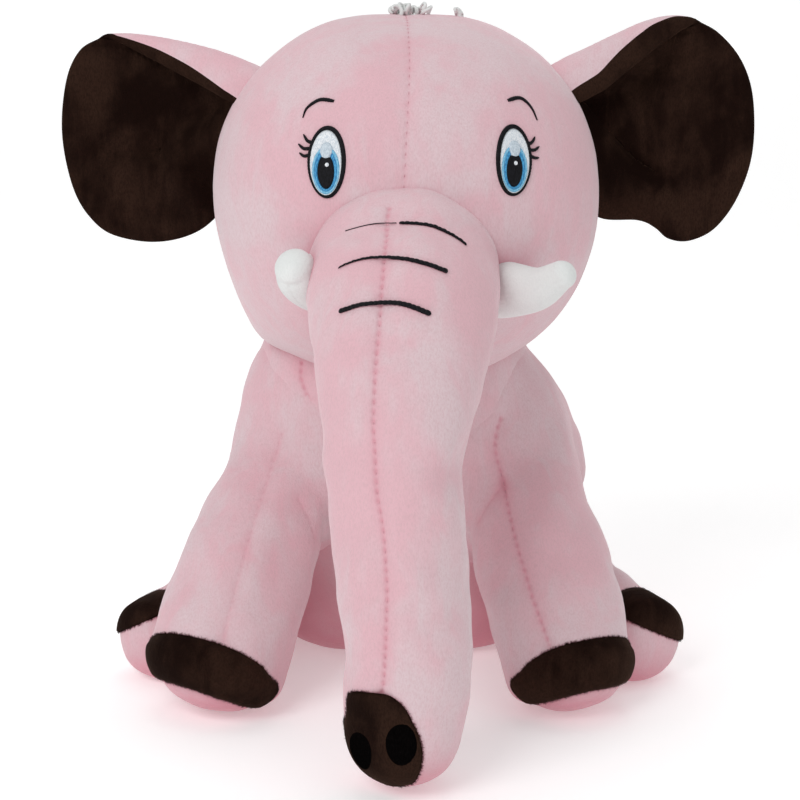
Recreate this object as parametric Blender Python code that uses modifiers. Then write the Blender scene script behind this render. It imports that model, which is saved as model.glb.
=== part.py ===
"""A seated plush elephant: sewn skins over stuffing that flex at their seams. Metres, +Z up, face along -Y."""

import math

import bmesh
import bpy
from mathutils import Matrix, Vector

# Fabric and clearances
SKIN = 0.0020
GAP = 0.0004
STUFFING_INSET = SKIN + 0.0018
STITCH = 0.0006
JOINT_CLEARANCE = 0.0007
NECK_CLEARANCE = 0.0016
SWEEP_FACET_SAG = 0.055
FOOT_SEAM = 0.0010
PANEL = 0.0012
PANEL_GAP = 0.0003

# Head: an ellipsoid that rolls in the dish of the neck
HEAD_CENTRE = Vector((0.0, 0.003, 0.2515))
HEAD_RADII = Vector((0.0950, 0.0900, 0.0905))
HEAD_NOD = (-8.0, 10.0)
NECK_HOLE_RADIUS = 0.038
NECK_PLUG_RADIUS = 0.020
NECK_HOLE = (0.140, 0.200)
NECK_PLUG = (0.146, 0.175)

# Face, in degrees round the head and in metres along its surface
FACE_TURN = 4.75
EYE_SPREAD = 28.9
EYE_HEIGHT = 15.5
EYE_HALF = (0.0093, 0.0170)
EYE_LINE = 0.0015
IRIS_HALF = (0.0062, 0.0103)
IRIS_DROP = -0.0034
PUPIL_HALF = (0.0038, 0.0076)
PUPIL_DROP = -0.0034
GLINT_HALF = (0.0024, 0.0034)
GLINT_ACROSS = -0.0008
GLINT_UP = 0.0052
LASH_ANGLES = (0.0, 20.0, 40.0)
LASH_REACH = (0.0058, 0.0024)
BROW_HALF_WIDTH = 0.0009
BROW_HALF_LENGTH = 0.0080
BROW_RISE = 0.0330
BROW_OUT = 0.0050
BROW_SLOPE = 0.0050
BROW_ARCH = 0.0040

# Ears: hinge line on the side of the head, then the outline of the fan outside it, as (out, up)
EAR_Y = 0.018
EAR_HINGE = (Vector((0.0820, EAR_Y, 0.3010)), Vector((0.0925, EAR_Y, 0.2390)))
EAR_MIDDLE = (0.1300, 0.2800)
EAR_OUTLINE = (
    (0.0905, 0.2700), (0.0815, 0.3010), (0.1080, 0.3290), (0.1400, 0.3350), (0.1640, 0.3180),
    (0.1725, 0.2850), (0.1640, 0.2480), (0.1400, 0.2290), (0.1130, 0.2320), (0.0940, 0.2400),
)
EAR_HALF_THICKNESS = 0.0075
EAR_CUP = 0.0100
EAR_RIM = 0.0200
EAR_SWING = (-20.0, 25.0)

# Trunk: centre line in the plane x = 0 as (y, z), with its radius across and through
TRUNK_PIVOT = (-0.0790, 0.2220)
TRUNK_ELBOW = (-0.1370, 0.1250)
TRUNK_UPPER = (
    (TRUNK_PIVOT, 0.0425, 0.0405), ((-0.1030, 0.2090), 0.0420, 0.0370),
    ((-0.1230, 0.1800), 0.0360, 0.0340), ((-0.1335, 0.1480), 0.0310, 0.0300),
    (TRUNK_ELBOW, 0.0300, 0.0290),
)
TRUNK_LOWER = (
    (TRUNK_ELBOW, 0.0298, 0.0288), ((-0.1400, 0.0950), 0.0297, 0.0285),
    ((-0.1415, 0.0600), 0.0283, 0.0275), ((-0.1395, 0.0280), 0.0262, 0.0258),
)
TRUNK_TIP_DEPTH = 0.0262
TRUNK_LIFT = (-5.0, 35.0)
TRUNK_CURL = (-8.0, 25.0)
WRINKLES = ((0.08, -0.10, 0.75), (0.23, -0.75, 0.43), (0.37, -0.80, 0.26))
WRINKLE_HALF_SHARE = 0.012
NOSE_TURN = 20.0
NOSE_HALF = (0.0178, 0.0212)
NOSTRIL_HALF = (0.0052, 0.0088)
NOSTRIL_SPREAD = 0.0085
NOSTRIL_DROP = -0.0035

# Tusks: (root, tip) of the elephant's left and right one
TUSKS = {
    "left": (Vector((0.0490, -0.0640, 0.2140)), Vector((0.0770, -0.0960, 0.2290))),
    "right": (Vector((-0.0485, -0.0640, 0.2160)), Vector((-0.0550, -0.1040, 0.2310))),
}
TUSK_RADII = (0.0125, 0.0085)

# Torso: heights with the centre's y, the half width and the half depth
TORSO_LEVELS = (
    (-0.012, 0.083, 0.045, 0.036), (0.000, 0.083, 0.070, 0.058), (0.025, 0.083, 0.085, 0.068),
    (0.060, 0.077, 0.090, 0.071), (0.100, 0.060, 0.092, 0.070), (0.135, 0.040, 0.085, 0.063),
    (0.165, 0.022, 0.073, 0.053), (0.185, 0.016, 0.054, 0.040), (0.195, 0.012, 0.010, 0.008),
)

# Legs: pivot, then the foot's middle, with radii along the way
FRONT_LEGS = {
    "left": (Vector((0.0510, 0.0080, 0.1350)), Vector((0.0815, -0.0475, 0.0240))),
    "right": (Vector((-0.0560, 0.0080, 0.1350)), Vector((-0.0920, -0.0465, 0.0240))),
}
FRONT_LEG_RADII = (0.0240, 0.0310, 0.0365, 0.0365, 0.0325)
FRONT_LEG_FLATNESS = 0.88
FRONT_FOOT_DEPTH = 0.0250
FRONT_SWING = (0.0, 25.0)
HIND_LEGS = {
    "left": (Vector((0.0700, 0.0850, 0.0370)), Vector((0.1212, -0.0040, 0.0266))),
    "right": (Vector((-0.0700, 0.0850, 0.0370)), Vector((-0.1275, 0.0005, 0.0262))),
}
HIND_LEG_RADII = (0.0330, 0.0300, 0.0262, 0.0252)
HIND_FOOT_DEPTH = 0.0120
HIND_SPREAD = (0.0, 18.0)

# Toe panels: middle and half width as angles round the foot, and height as a share of the leg
FRONT_TOE = (math.pi / 2, 1.45, 0.10)
HIND_TOE = (0.0, 1.45, 0.10)

# Tail, behind the seat
TAIL_PATH = (Vector((0, 0.1400, 0.0800)), Vector((0, 0.1570, 0.0660)), Vector((0, 0.1639, 0.0440)))
TAIL_RADII = (0.0080, 0.0068, 0.0055)
TAIL_SWING = (-15.0, 30.0)

# White tuft on the crown: each lock's place and size
TUFT_LOCKS = (
    (Vector((-0.0060, 0.010, 0.3385)), 0.0085), (Vector((0.0060, 0.013, 0.3390)), 0.0080),
    (Vector((0.0000, 0.021, 0.3370)), 0.0095),
)

# Facets: points round and along
HEAD_FACETS = (24, 14)
TORSO_FACETS = (20, 13)
FILL_FACETS = (14, 10)
TRUNK_FACETS = (16, 12)
LEG_FACETS = (14, 12)
SMALL_FACETS = (10, 8)
EAR_FACETS = (18, 8)
SWEEP_FACETS = (10, 12)
NECK_FACETS = 24
SOLE_RINGS = 3

PINK = (0.78, 0.47, 0.52)
BROWN = (0.022, 0.010, 0.007)
WHITE = (0.80, 0.81, 0.80)
BLACK = (0.012, 0.012, 0.014)
BLUE = (0.07, 0.36, 0.66)
FILL = (0.85, 0.85, 0.83)

X_AXIS = Vector((1, 0, 0))
UP = Vector((0, 0, 1))
SIDES = {"left": 1, "right": -1}


def clear_scene():
    for obj in list(bpy.data.objects):
        bpy.data.objects.remove(obj, do_unlink=True)


def new_collection(name):
    made = bpy.data.collections.new(name)
    bpy.context.scene.collection.children.link(made)
    return made


def fabric(name, colour, roughness):
    material = bpy.data.materials.new(name)
    material.use_nodes = True
    shader = material.node_tree.nodes["Principled BSDF"]
    shader.inputs["Base Color"].default_value = (*colour, 1.0)
    shader.inputs["Roughness"].default_value = roughness
    material.diffuse_color = (*colour, 1.0)
    return material


def to_object(name, form, material, collection):
    """Turns a bmesh into an object with its material, shaded smooth."""
    mesh = bpy.data.meshes.new(name)
    form.to_mesh(mesh)
    form.free()
    mesh.materials.append(material)
    mesh.shade_smooth()
    made = bpy.data.objects.new(name, mesh)
    collection.objects.link(made)
    return made


def solidify(obj, thickness, outwards=False):
    shell = obj.modifiers.new("fabric", "SOLIDIFY")
    shell.thickness = thickness
    shell.offset = 1.0 if outwards else -1.0
    shell.use_even_offset = True
    return obj


def cut(obj, *cutters):
    for cutter in cutters:
        boolean = obj.modifiers.new(cutter.name, "BOOLEAN")
        boolean.operation = "DIFFERENCE"
        boolean.object = cutter
    return obj


# Round forms: a UV sphere whose points are placed by a formula of (polar fraction, angle round)


def round_form(place, segments, rings):
    """A closed bmesh: place(t, angle) takes t from 0 at the first pole to 1 at the last."""
    form = bmesh.new()
    bmesh.ops.create_uvsphere(form, u_segments=segments, v_segments=rings, radius=1.0)
    polar = form.verts.layers.float.new("polar")
    for vertex in form.verts:
        t = math.acos(max(-1.0, min(1.0, vertex.co.z))) / math.pi
        vertex[polar] = t
        vertex.co = place(t, math.atan2(vertex.co.y, vertex.co.x))
    bmesh.ops.recalc_face_normals(form, faces=form.faces)
    if form.calc_volume(signed=True) < 0:
        bmesh.ops.reverse_faces(form, faces=form.faces)
    return form


def open_between(form, first, last):
    """Keeps the faces whose polar fraction lies between first and last."""
    polar = form.verts.layers.float["polar"]
    gone = []
    for face in form.faces:
        middle = sum(vertex[polar] for vertex in face.verts) / len(face.verts)
        if not first < middle < last:
            gone.append(face)
    bmesh.ops.delete(form, geom=gone, context="FACES")
    return form


def inset(form, distance, floor=None):
    """Moves a closed form's surface inwards, and keeps it above the floor given."""
    form.normal_update()
    moved = [vertex.co - vertex.normal * distance for vertex in form.verts]
    for vertex, place in zip(form.verts, moved):
        vertex.co = place
        if floor is not None:
            vertex.co.z = max(vertex.co.z, floor)
    return form


def rest_on_floor(form):
    for vertex in form.verts:
        vertex.co.z = max(vertex.co.z, 0.0)
    return form


def smooth_between(values, position):
    """Catmull-Rom through values, floats or vectors, at a position counted in values."""
    last = len(values) - 1
    index = min(int(position), last - 1)
    f = position - index
    before = values[index - 1] if index else 2 * values[0] - values[1]
    after = values[index + 2] if index + 2 <= last else 2 * values[last] - values[last - 1]
    a, b = values[index], values[index + 1]
    return 0.5 * (
        2 * a + (b - before) * f + (2 * before - 5 * a + 4 * b - after) * f**2
        + (3 * a - before - 3 * b + after) * f**3
    )


class Limb:
    """A stuffed tube: a dome about its pivot, a run along a smooth line, and a rounded end."""

    dome_share = 0.25
    end_share = 0.25

    def __init__(self, points, across, through, end_depth, side):
        self.points = points
        self.across = across
        self.through = through
        self.end_depth = end_depth
        self.side = side

    def frame(self, position):
        """(centre, tangent, side, normal) of the line at a position counted in points."""
        last = len(self.points) - 1
        step = 0.05
        here = smooth_between(self.points, position)
        ahead = smooth_between(self.points, min(position + step, last))
        behind = smooth_between(self.points, max(position - step, 0.0))
        tangent = (ahead - behind).normalized()
        side = (self.side - tangent * self.side.dot(tangent)).normalized()
        return here, tangent, side, tangent.cross(side)

    def place(self, t, angle, lift=0.0):
        last = len(self.points) - 1
        if t < self.dome_share:
            turn = t / self.dome_share * math.pi / 2
            position, along, shrink = 0.0, -math.cos(turn) * (self.through[0] + lift), math.sin(turn)
        elif t > 1 - self.end_share:
            turn = (t - 1 + self.end_share) / self.end_share * math.pi / 2
            position, along, shrink = last, math.sin(turn) * (self.end_depth + lift), math.cos(turn)
        else:
            position = (t - self.dome_share) / (1 - self.dome_share - self.end_share) * last
            along, shrink = 0.0, 1.0
        centre, tangent, side, normal = self.frame(position)
        wide = (smooth_between(self.across, position) + lift) * shrink
        deep = (smooth_between(self.through, position) + lift) * shrink
        return centre + tangent * along + side * wide * math.cos(angle) + normal * deep * math.sin(angle)

    def share(self, run):
        """The polar fraction at a part, from 0 to 1, of the run between the dome and the end."""
        return self.dome_share + run * (1 - self.dome_share - self.end_share)

    def form(self, segments, rings, lift=0.0):
        return round_form(lambda t, angle: self.place(t, angle, lift), segments, rings)


def sweep_points(form, radius, turns):
    """The points of a form at each turn of its joint, grown past its own facets' sag for its radius."""
    grow = JOINT_CLEARANCE + SWEEP_FACET_SAG * radius
    form.normal_update()
    grown = [vertex.co + vertex.normal * grow for vertex in form.verts]
    form.free()
    return [turn @ point for turn in turns for point in grown]


def hull(name, points, collection):
    """A cutter that holds every point."""
    form = bmesh.new()
    for point in points:
        form.verts.new(point)
    made = bmesh.ops.convex_hull(form, input=form.verts)
    spare = [g for g in made["geom_interior"] + made["geom_unused"] if isinstance(g, bmesh.types.BMVert)]
    bmesh.ops.delete(form, geom=list(set(spare)), context="VERTS")
    bmesh.ops.recalc_face_normals(form, faces=form.faces)
    return as_cutter(name, form, collection)


def as_cutter(name, form, collection):
    mesh = bpy.data.meshes.new(name)
    form.to_mesh(mesh)
    form.free()
    made = bpy.data.objects.new(name, mesh)
    made.hide_render = True
    made.display_type = "WIRE"
    collection.objects.link(made)
    return made


def turns_about(pivot, axis, limits, steps=3):
    """Turning matrices about a joint, spread over its limits."""
    low, high = limits
    return [about(pivot, axis, low + (high - low) * step / (steps - 1)) for step in range(steps)]


# Shapes on the head


def head_point(turn, height, lift=0.0):
    """A point on the head, with turn and height in degrees from the middle of its front."""
    turn, height = math.radians(turn), math.radians(height)
    way = Vector((math.sin(turn) * math.cos(height), -math.cos(turn) * math.cos(height), math.sin(height)))
    reach = 1 / math.sqrt(sum((way[i] / HEAD_RADII[i]) ** 2 for i in range(3)))
    surface = way * reach
    normal = Vector([surface[i] / HEAD_RADII[i] ** 2 for i in range(3)]).normalized()
    return HEAD_CENTRE + surface + normal * lift


def head_form(segments, rings, lift=0.0):
    def place(t, angle):
        way = Vector((math.sin(math.pi * t) * math.cos(angle), math.sin(math.pi * t) * math.sin(angle), 0))
        way.z = math.cos(math.pi * t)
        return HEAD_CENTRE + Vector([way[i] * (HEAD_RADII[i] + lift) for i in range(3)])

    return round_form(place, segments, rings)


def on_face(turn, height, across, along, lift):
    """A point by its distance across and along the head's surface from (turn, height)."""
    up = height + math.degrees(along / HEAD_RADII.z)
    round_by = across / (HEAD_RADII.y * math.cos(math.radians(up)))
    return head_point(turn + math.degrees(round_by), up, lift)


def flat_ring(segments):
    """A ring one face wide, between radius 1 and radius 0.5."""
    form = bmesh.new()
    bmesh.ops.create_cone(form, segments=segments, radius1=1.0, radius2=0.5, depth=1.0, cap_ends=False)
    return form


def flat_disc(segments, rings=2):
    """A disc of radius 1 with rings of points, so that it can lie on a ball."""

    def place(t, angle):
        return Vector((2 * t * math.cos(angle), 2 * t * math.sin(angle), 0 if t < 0.51 else -1))

    return open_between(round_form(place, segments, 2 * rings), 0.0, 0.5)


def flat_strip(long, wide):
    form = bmesh.new()
    bmesh.ops.create_grid(form, x_segments=long, y_segments=wide, size=1.0)
    return form


def sewn_on(name, form, place, material, collection, thickness=STITCH):
    """Lays a flat form on a surface: place(x, y, lift) gives the point, and lift is its way out."""
    outs = {}
    for vertex in form.verts:
        x, y = vertex.co.x, vertex.co.y
        outs[vertex] = place(x, y, 0.001) - place(x, y, 0.0)
        vertex.co = place(x, y, GAP)
    form.normal_update()
    if sum(face.normal.dot(outs[face.verts[0]]) for face in form.faces) < 0:
        bmesh.ops.reverse_faces(form, faces=form.faces)
    return solidify(to_object(name, form, material, collection), thickness, outwards=True)


def make_eye(side, sign, fabrics, parts):
    """Satin-stitched rings laid inside one another, with the glint over the pupil."""
    turn = FACE_TURN + sign * EYE_SPREAD
    lashes = [math.radians(angle if sign > 0 else 180 - angle) for angle in LASH_ANGLES]

    def on_eye(across, along, lift):
        return on_face(turn, EYE_HEIGHT, across, along, lift)

    def between(outer, outer_drop, inner, inner_drop, spikes=()):
        def place(x, y, lift):
            angle = math.atan2(y, x)
            if math.hypot(x, y) < 0.75:
                across, along = inner[0] * math.cos(angle), inner[1] * math.sin(angle) + inner_drop
                return on_eye(across, along, lift)
            across, along = outer[0] * math.cos(angle), outer[1] * math.sin(angle) + outer_drop
            if any(abs(math.remainder(angle - spike, math.tau)) < 0.01 for spike in spikes):
                across += sign * LASH_REACH[0]
                along += LASH_REACH[1]
            return on_eye(across, along, lift)

        return place

    def disc(half, middle, lift_by=0.0):
        def place(x, y, lift):
            return on_eye(middle[0] + half[0] * x, middle[1] + half[1] * y, lift + lift_by)

        return place

    def shrunk(half, by):
        return half[0] - by, half[1] - by

    white = shrunk(EYE_HALF, EYE_LINE)
    rings = (
        ("outline", 36, between(EYE_HALF, 0, white, 0, lashes), "black"),
        ("white", 18, between(shrunk(white, GAP), 0, shrunk(IRIS_HALF, -GAP), IRIS_DROP), "white"),
        ("iris", 18, between(IRIS_HALF, IRIS_DROP, shrunk(PUPIL_HALF, -GAP), PUPIL_DROP), "blue"),
    )
    for name, segments, place, colour in rings:
        sewn_on(f"eye_{side}_{name}", flat_ring(segments), place, fabrics[colour], parts)
    sewn_on(f"eye_{side}_pupil", flat_disc(16), disc(PUPIL_HALF, (0, PUPIL_DROP)), fabrics["black"], parts)
    glint = disc(GLINT_HALF, (GLINT_ACROSS, GLINT_UP), STITCH + GAP)
    sewn_on(f"eye_{side}_glint", flat_disc(12), glint, fabrics["white"], parts)

    def brow(x, y, lift):
        across = sign * BROW_OUT + BROW_HALF_LENGTH * x
        along = BROW_RISE - sign * x * BROW_SLOPE - BROW_ARCH * x * x + BROW_HALF_WIDTH * y
        return on_eye(across, along, lift)

    sewn_on(f"eye_{side}_brow", flat_strip(8, 1), brow, fabrics["black"], parts)


def neck_cutters(cutters):
    """The dish that the head rolls in, and the hole in the head's skin for the neck's stuffing."""
    dish = as_cutter("neck_dish", head_form(*HEAD_FACETS, NECK_CLEARANCE), cutters)
    return dish, cylinder("neck_hole", NECK_HOLE_RADIUS, *NECK_HOLE, NECK_FACETS, cutters)


def about(pivot, axis, degrees):
    there = Matrix.Translation(pivot)
    return there @ Matrix.Rotation(math.radians(degrees), 4, axis) @ there.inverted()


def cylinder_form(radius, bottom, top, segments):
    """An upright cylinder on the neck's axis."""
    form = bmesh.new()
    bmesh.ops.create_cone(
        form, cap_ends=True, segments=segments, radius1=radius, radius2=radius, depth=top - bottom
    )
    bmesh.ops.translate(form, verts=form.verts, vec=(HEAD_CENTRE.x, HEAD_CENTRE.y, (bottom + top) / 2))
    return form


def cylinder(name, radius, bottom, top, segments, collection):
    return as_cutter(name, cylinder_form(radius, bottom, top, segments), collection)


def half_space(name, sign, collection):
    """A cutter that leaves only one side of the seam down the middle."""
    form = bmesh.new()
    bmesh.ops.create_cube(form, size=0.6)
    bmesh.ops.translate(form, verts=form.verts, vec=(sign * (GAP / 2 - 0.3), 0, 0.25))
    return as_cutter(name, form, collection)


def upper_trunk():
    return trunk_limb(TRUNK_UPPER, 0.004)


def lower_trunk():
    return trunk_limb(TRUNK_LOWER, TRUNK_TIP_DEPTH)


def trunk_limb(stations, end_depth):
    points = [Vector((0, y, z)) for (y, z), _, _ in stations]
    return Limb(points, [s[1] for s in stations], [s[2] for s in stations], end_depth, X_AXIS)


def ear_radius(angle):
    """The ear's outline about its middle, smooth through the points in EAR_OUTLINE."""
    arms = [(out - EAR_MIDDLE[0], up - EAR_MIDDLE[1]) for out, up in EAR_OUTLINE]
    polar = sorted((math.atan2(up, out), math.hypot(out, up)) for out, up in arms)
    count = len(polar)
    for index in range(count):
        start, end = polar[index][0], polar[(index + 1) % count][0]
        span = (end - start) % math.tau
        along = (angle - start) % math.tau
        if along <= span:
            values = [polar[(index + k) % count][1] for k in (-1, 0, 1, 2)]
            return smooth_between(values, 1 + along / span)
    return polar[0][1]


def ear_form(sign, segments, rings, slim=0.0):
    """A cupped pillow inside the ear's outline, with its first pole in front."""

    def place(t, angle):
        edge = ear_radius(angle) - slim
        reach = math.sin(math.pi * t) ** 0.8
        out = EAR_MIDDLE[0] + edge * reach * math.cos(angle)
        up = EAR_MIDDLE[1] + edge * reach * math.sin(angle)
        cup = EAR_CUP * ((out - EAR_MIDDLE[0]) / 0.045) ** 2
        y = EAR_Y - cup - (EAR_HALF_THICKNESS - slim) * math.cos(math.pi * t)
        return Vector((sign * out, y, up))

    return round_form(place, segments, rings)


def make_ears(fabrics, parts, cutters):
    """Returns the cutters that open the head's skin for each ear's seam."""
    slits = []
    for side, sign in SIDES.items():
        panels = (("front", 0.0, 0.5, -GAP, "brown"), ("back", 0.5, 1.0, GAP, "pink"))
        for name, first, last, step, colour in panels:
            panel = open_between(ear_form(sign, *EAR_FACETS, SKIN), first, last)
            bmesh.ops.translate(panel, verts=panel.verts, vec=(0, step / 2, 0))
            sheet = to_object(f"ear_{side}_{name}_panel", panel, fabrics[colour], parts)
            solidify(sheet, SKIN, outwards=True)
        padding = ear_form(sign, 16, 8, STUFFING_INSET + GAP)
        to_object(f"ear_{side}_padding", padding, fabrics["fill"], parts)
        top, bottom = [Vector((sign * end.x, end.y, end.z)) for end in EAR_HINGE]
        turns = turns_about(bottom, (top - bottom).normalized(), [-sign * a for a in EAR_SWING])
        swept = sweep_points(ear_form(sign, *EAR_FACETS), EAR_RIM, turns)
        slits.append(hull(f"ear_{side}_slit", swept, cutters))
    return slits


def make_head(fabrics, parts, cutters):
    dish, hole = neck_cutters(cutters)
    slits = make_ears(fabrics, parts, cutters)
    pivot = Vector((0, *TRUNK_PIVOT))
    turns = turns_about(pivot, X_AXIS, [-a for a in TRUNK_LIFT])
    swept = sweep_points(upper_trunk().form(*SWEEP_FACETS), TRUNK_UPPER[0][1], turns)
    socket = hull("trunk_socket", swept, cutters)
    skin_cutters = [hole, socket, *slits]
    for side, sign in SIDES.items():
        skin = solidify(to_object(f"head_skin_{side}", head_shell(), fabrics["pink"], parts), SKIN)
        cut(skin, *skin_cutters, half_space(f"head_seam_{side}", sign, cutters))
    stuffing = inset(head_form(*FILL_FACETS), STUFFING_INSET)
    cut(to_object("head_stuffing", stuffing, fabrics["fill"], parts), socket, *slits)
    plug = to_object(
        "neck_stuffing", cylinder_form(NECK_PLUG_RADIUS, *NECK_PLUG, NECK_FACETS), fabrics["fill"], parts
    )
    ball_turns = [about(HEAD_CENTRE, X_AXIS, -a) for a in (HEAD_NOD[0], 0, HEAD_NOD[1])]
    ball = inset(head_form(*FILL_FACETS), STUFFING_INSET)
    cut(plug, hull("head_ball", sweep_points(ball, 0.0, ball_turns), cutters))
    head_cover = as_cutter("head_cover", head_form(*HEAD_FACETS, GAP), cutters)
    make_tuft(fabrics, parts, head_cover, cutters)
    make_tusks(fabrics, parts, head_cover, socket)
    for side, sign in SIDES.items():
        make_eye(side, sign, fabrics, parts)
    return dish


def head_shell():
    """The head's surface, open below where the neck's stuffing comes through."""
    return open_between(head_form(*HEAD_FACETS), 0.0, 0.94)


def make_tuft(fabrics, parts, head_cover, cutters):
    """Locks of white pile, joined into one tuft on the crown."""
    forms = []
    for place, size in TUFT_LOCKS:
        form = bmesh.new()
        bmesh.ops.create_uvsphere(form, u_segments=8, v_segments=6, radius=size)
        bmesh.ops.translate(form, verts=form.verts, vec=place)
        forms.append(form)
    tuft = to_object("hair_tuft", forms[0], fabrics["white"], parts)
    for index, form in enumerate(forms[1:]):
        joined = tuft.modifiers.new(f"lock_{index}", "BOOLEAN")
        joined.operation = "UNION"
        joined.object = as_cutter(f"tuft_lock_{index}", form, cutters)
    cut(tuft, head_cover)


def make_tusks(fabrics, parts, head_cover, socket):
    for side, (root, tip) in TUSKS.items():
        limb = Limb([root, (root + tip) / 2, tip], [TUSK_RADII[0], sum(TUSK_RADII) / 2, TUSK_RADII[1]],
                    [TUSK_RADII[0], sum(TUSK_RADII) / 2, TUSK_RADII[1]], TUSK_RADII[1], UP)
        skin = open_between(limb.form(*SMALL_FACETS), 0.2, 1.0)
        cut(solidify(to_object(f"tusk_{side}_skin", skin, fabrics["white"], parts), SKIN), head_cover, socket)
        stuffing = inset(limb.form(10, 8), STUFFING_INSET)
        cut(to_object(f"tusk_{side}_stuffing", stuffing, fabrics["fill"], parts), head_cover, socket)


def make_trunk(fabrics, parts, cutters):
    upper, lower = upper_trunk(), lower_trunk()
    elbow = Vector((0, *TRUNK_ELBOW))
    turns = turns_about(elbow, X_AXIS, [-a for a in TRUNK_CURL])
    bend = hull("trunk_bend", sweep_points(lower.form(*SWEEP_FACETS), TRUNK_LOWER[0][1], turns), cutters)
    shell = open_between(upper.form(*TRUNK_FACETS), 0.12, 1 - upper.end_share)
    cut(solidify(to_object("trunk_upper_skin", shell, fabrics["pink"], parts), SKIN), bend)
    filling = inset(upper.form(14, 10), STUFFING_INSET + GAP)
    cut(to_object("trunk_upper_stuffing", filling, fabrics["fill"], parts), bend)
    shell = open_between(lower.form(*TRUNK_FACETS), 0.12, 1.0)
    solidify(to_object("trunk_lower_skin", shell, fabrics["pink"], parts), SKIN)
    to_object("trunk_lower_stuffing", inset(lower.form(14, 10), STUFFING_INSET), fabrics["fill"], parts)

    for number, (along, start, end) in enumerate(WRINKLES, 1):
        def wrinkle(x, y, lift, along=along, start=start, end=end):
            angle = math.pi / 2 - (start + (end - start) * (x + 1) / 2)
            return upper.place(upper.share(along + y * WRINKLE_HALF_SHARE), angle, lift + GAP / 2)

        sewn_on(f"trunk_wrinkle_{number}", flat_strip(10, 1), wrinkle, fabrics["black"], parts)

    girth, run = lower.across[-1], (lower.points[-1] - lower.points[0]).length

    def on_tip(across, along, lift):
        """A point by its distance round the trunk and up it from where its rounded end begins."""
        angle = math.pi / 2 + math.radians(NOSE_TURN) - across / girth
        if along > 0:
            return lower.place(lower.share(1 - along / run), angle, lift)
        return lower.place(1 - lower.end_share * (1 + 2 * along / girth / math.pi), angle, lift)

    def patch(x, y, lift):
        return on_tip(NOSE_HALF[0] * x, NOSE_HALF[1] * y, lift)

    sewn_on("nose_patch", flat_disc(20, 4), patch, fabrics["brown"], parts, PANEL)
    for side, sign in SIDES.items():
        def nostril(x, y, lift, sign=sign):
            across = sign * NOSTRIL_SPREAD + NOSTRIL_HALF[0] * x
            return on_tip(-across, NOSTRIL_DROP + NOSTRIL_HALF[1] * y, lift + PANEL + GAP)

        sewn_on(f"nostril_{side}", flat_disc(16), nostril, fabrics["black"], parts)


def make_torso(fabrics, parts, dish, cutters, sockets):
    skin = open_between(rest_on_floor(torso_form(*TORSO_FACETS)), 0.08, 1.0)
    cut(solidify(to_object("torso_skin", skin, fabrics["pink"], parts), SKIN), dish, *sockets)
    stuffing = inset(rest_on_floor(torso_form(*FILL_FACETS)), STUFFING_INSET, STUFFING_INSET)
    well_radius, well_bottom = NECK_PLUG_RADIUS + GAP, NECK_PLUG[0] - GAP
    well = cylinder("neck_well", well_radius, well_bottom, NECK_HOLE[1], NECK_FACETS, cutters)
    cut(to_object("torso_stuffing", stuffing, fabrics["fill"], parts), dish, well, *sockets)


def torso_form(segments, rings):
    centres = [Vector((0, level[1], level[0])) for level in TORSO_LEVELS]
    halves = [Vector((level[2], level[3], 0)) for level in TORSO_LEVELS]

    def place(t, angle):
        position = (1 - t) * (len(TORSO_LEVELS) - 1)
        end = min(t, 1 - t) * 2 * rings
        shrink = min(end, 1.0)
        centre, half = smooth_between(centres, position), smooth_between(halves, position)
        return centre + Vector((half.x * math.cos(angle), half.y * math.sin(angle), 0)) * shrink

    return round_form(place, segments, rings)


def make_leg(name, pivot, foot, radii, flatness, end_depth, side_axis, toe, swing, fabrics, parts, cutters):
    """A leg's skin, stuffing, sole and toe panel. Returns the socket that its swing needs in the torso."""
    count = len(radii) - 1
    points = [pivot.lerp(foot, index / count) for index in range(count + 1)]
    limb = Limb(points, list(radii), [radius * flatness for radius in radii], end_depth, side_axis)
    axis, limits = swing
    turns = turns_about(pivot, axis, limits)
    socket = hull(f"{name}_socket", sweep_points(limb.form(*SWEEP_FACETS), max(radii), turns), cutters)
    sole_start = 1 - SOLE_RINGS / LEG_FACETS[1]
    shell = rest_on_floor(open_between(limb.form(*LEG_FACETS), 0.1, sole_start))
    solidify(to_object(f"{name}_skin", shell, fabrics["pink"], parts), SKIN)
    sole = open_between(limb.form(*LEG_FACETS), sole_start, 1.0)
    slide = (foot - pivot).normalized() * FOOT_SEAM
    bmesh.ops.translate(sole, verts=sole.verts, vec=slide)
    solidify(to_object(f"{name}_sole", rest_on_floor(sole), fabrics["pink"], parts), SKIN)
    depth = STUFFING_INSET + GAP
    stuffing = inset(rest_on_floor(limb.form(12, 10)), depth, depth)
    to_object(f"{name}_stuffing", stuffing, fabrics["fill"], parts)
    middle, half, height = toe

    def toe_panel(x, y, lift):
        angle = middle + half * x
        top = sole_start - 0.01 - height * (0.12 + 0.88 * math.cos(x * math.pi / 2)) * (y + 1) / 2
        return limb.place(top, angle, lift + PANEL_GAP)

    sewn_on(f"{name}_toe_panel", flat_strip(12, 2), toe_panel, fabrics["brown"], parts, PANEL)
    return socket


def make_tail(fabrics, parts, cutters):
    limb = Limb(list(TAIL_PATH), list(TAIL_RADII), list(TAIL_RADII), 0.004, X_AXIS)
    turns = turns_about(TAIL_PATH[0], X_AXIS, TAIL_SWING)
    socket = hull("tail_socket", sweep_points(limb.form(*SWEEP_FACETS), TAIL_RADII[0], turns), cutters)
    to_object("tail", limb.form(*SMALL_FACETS), fabrics["pink"], parts)
    return socket


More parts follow.
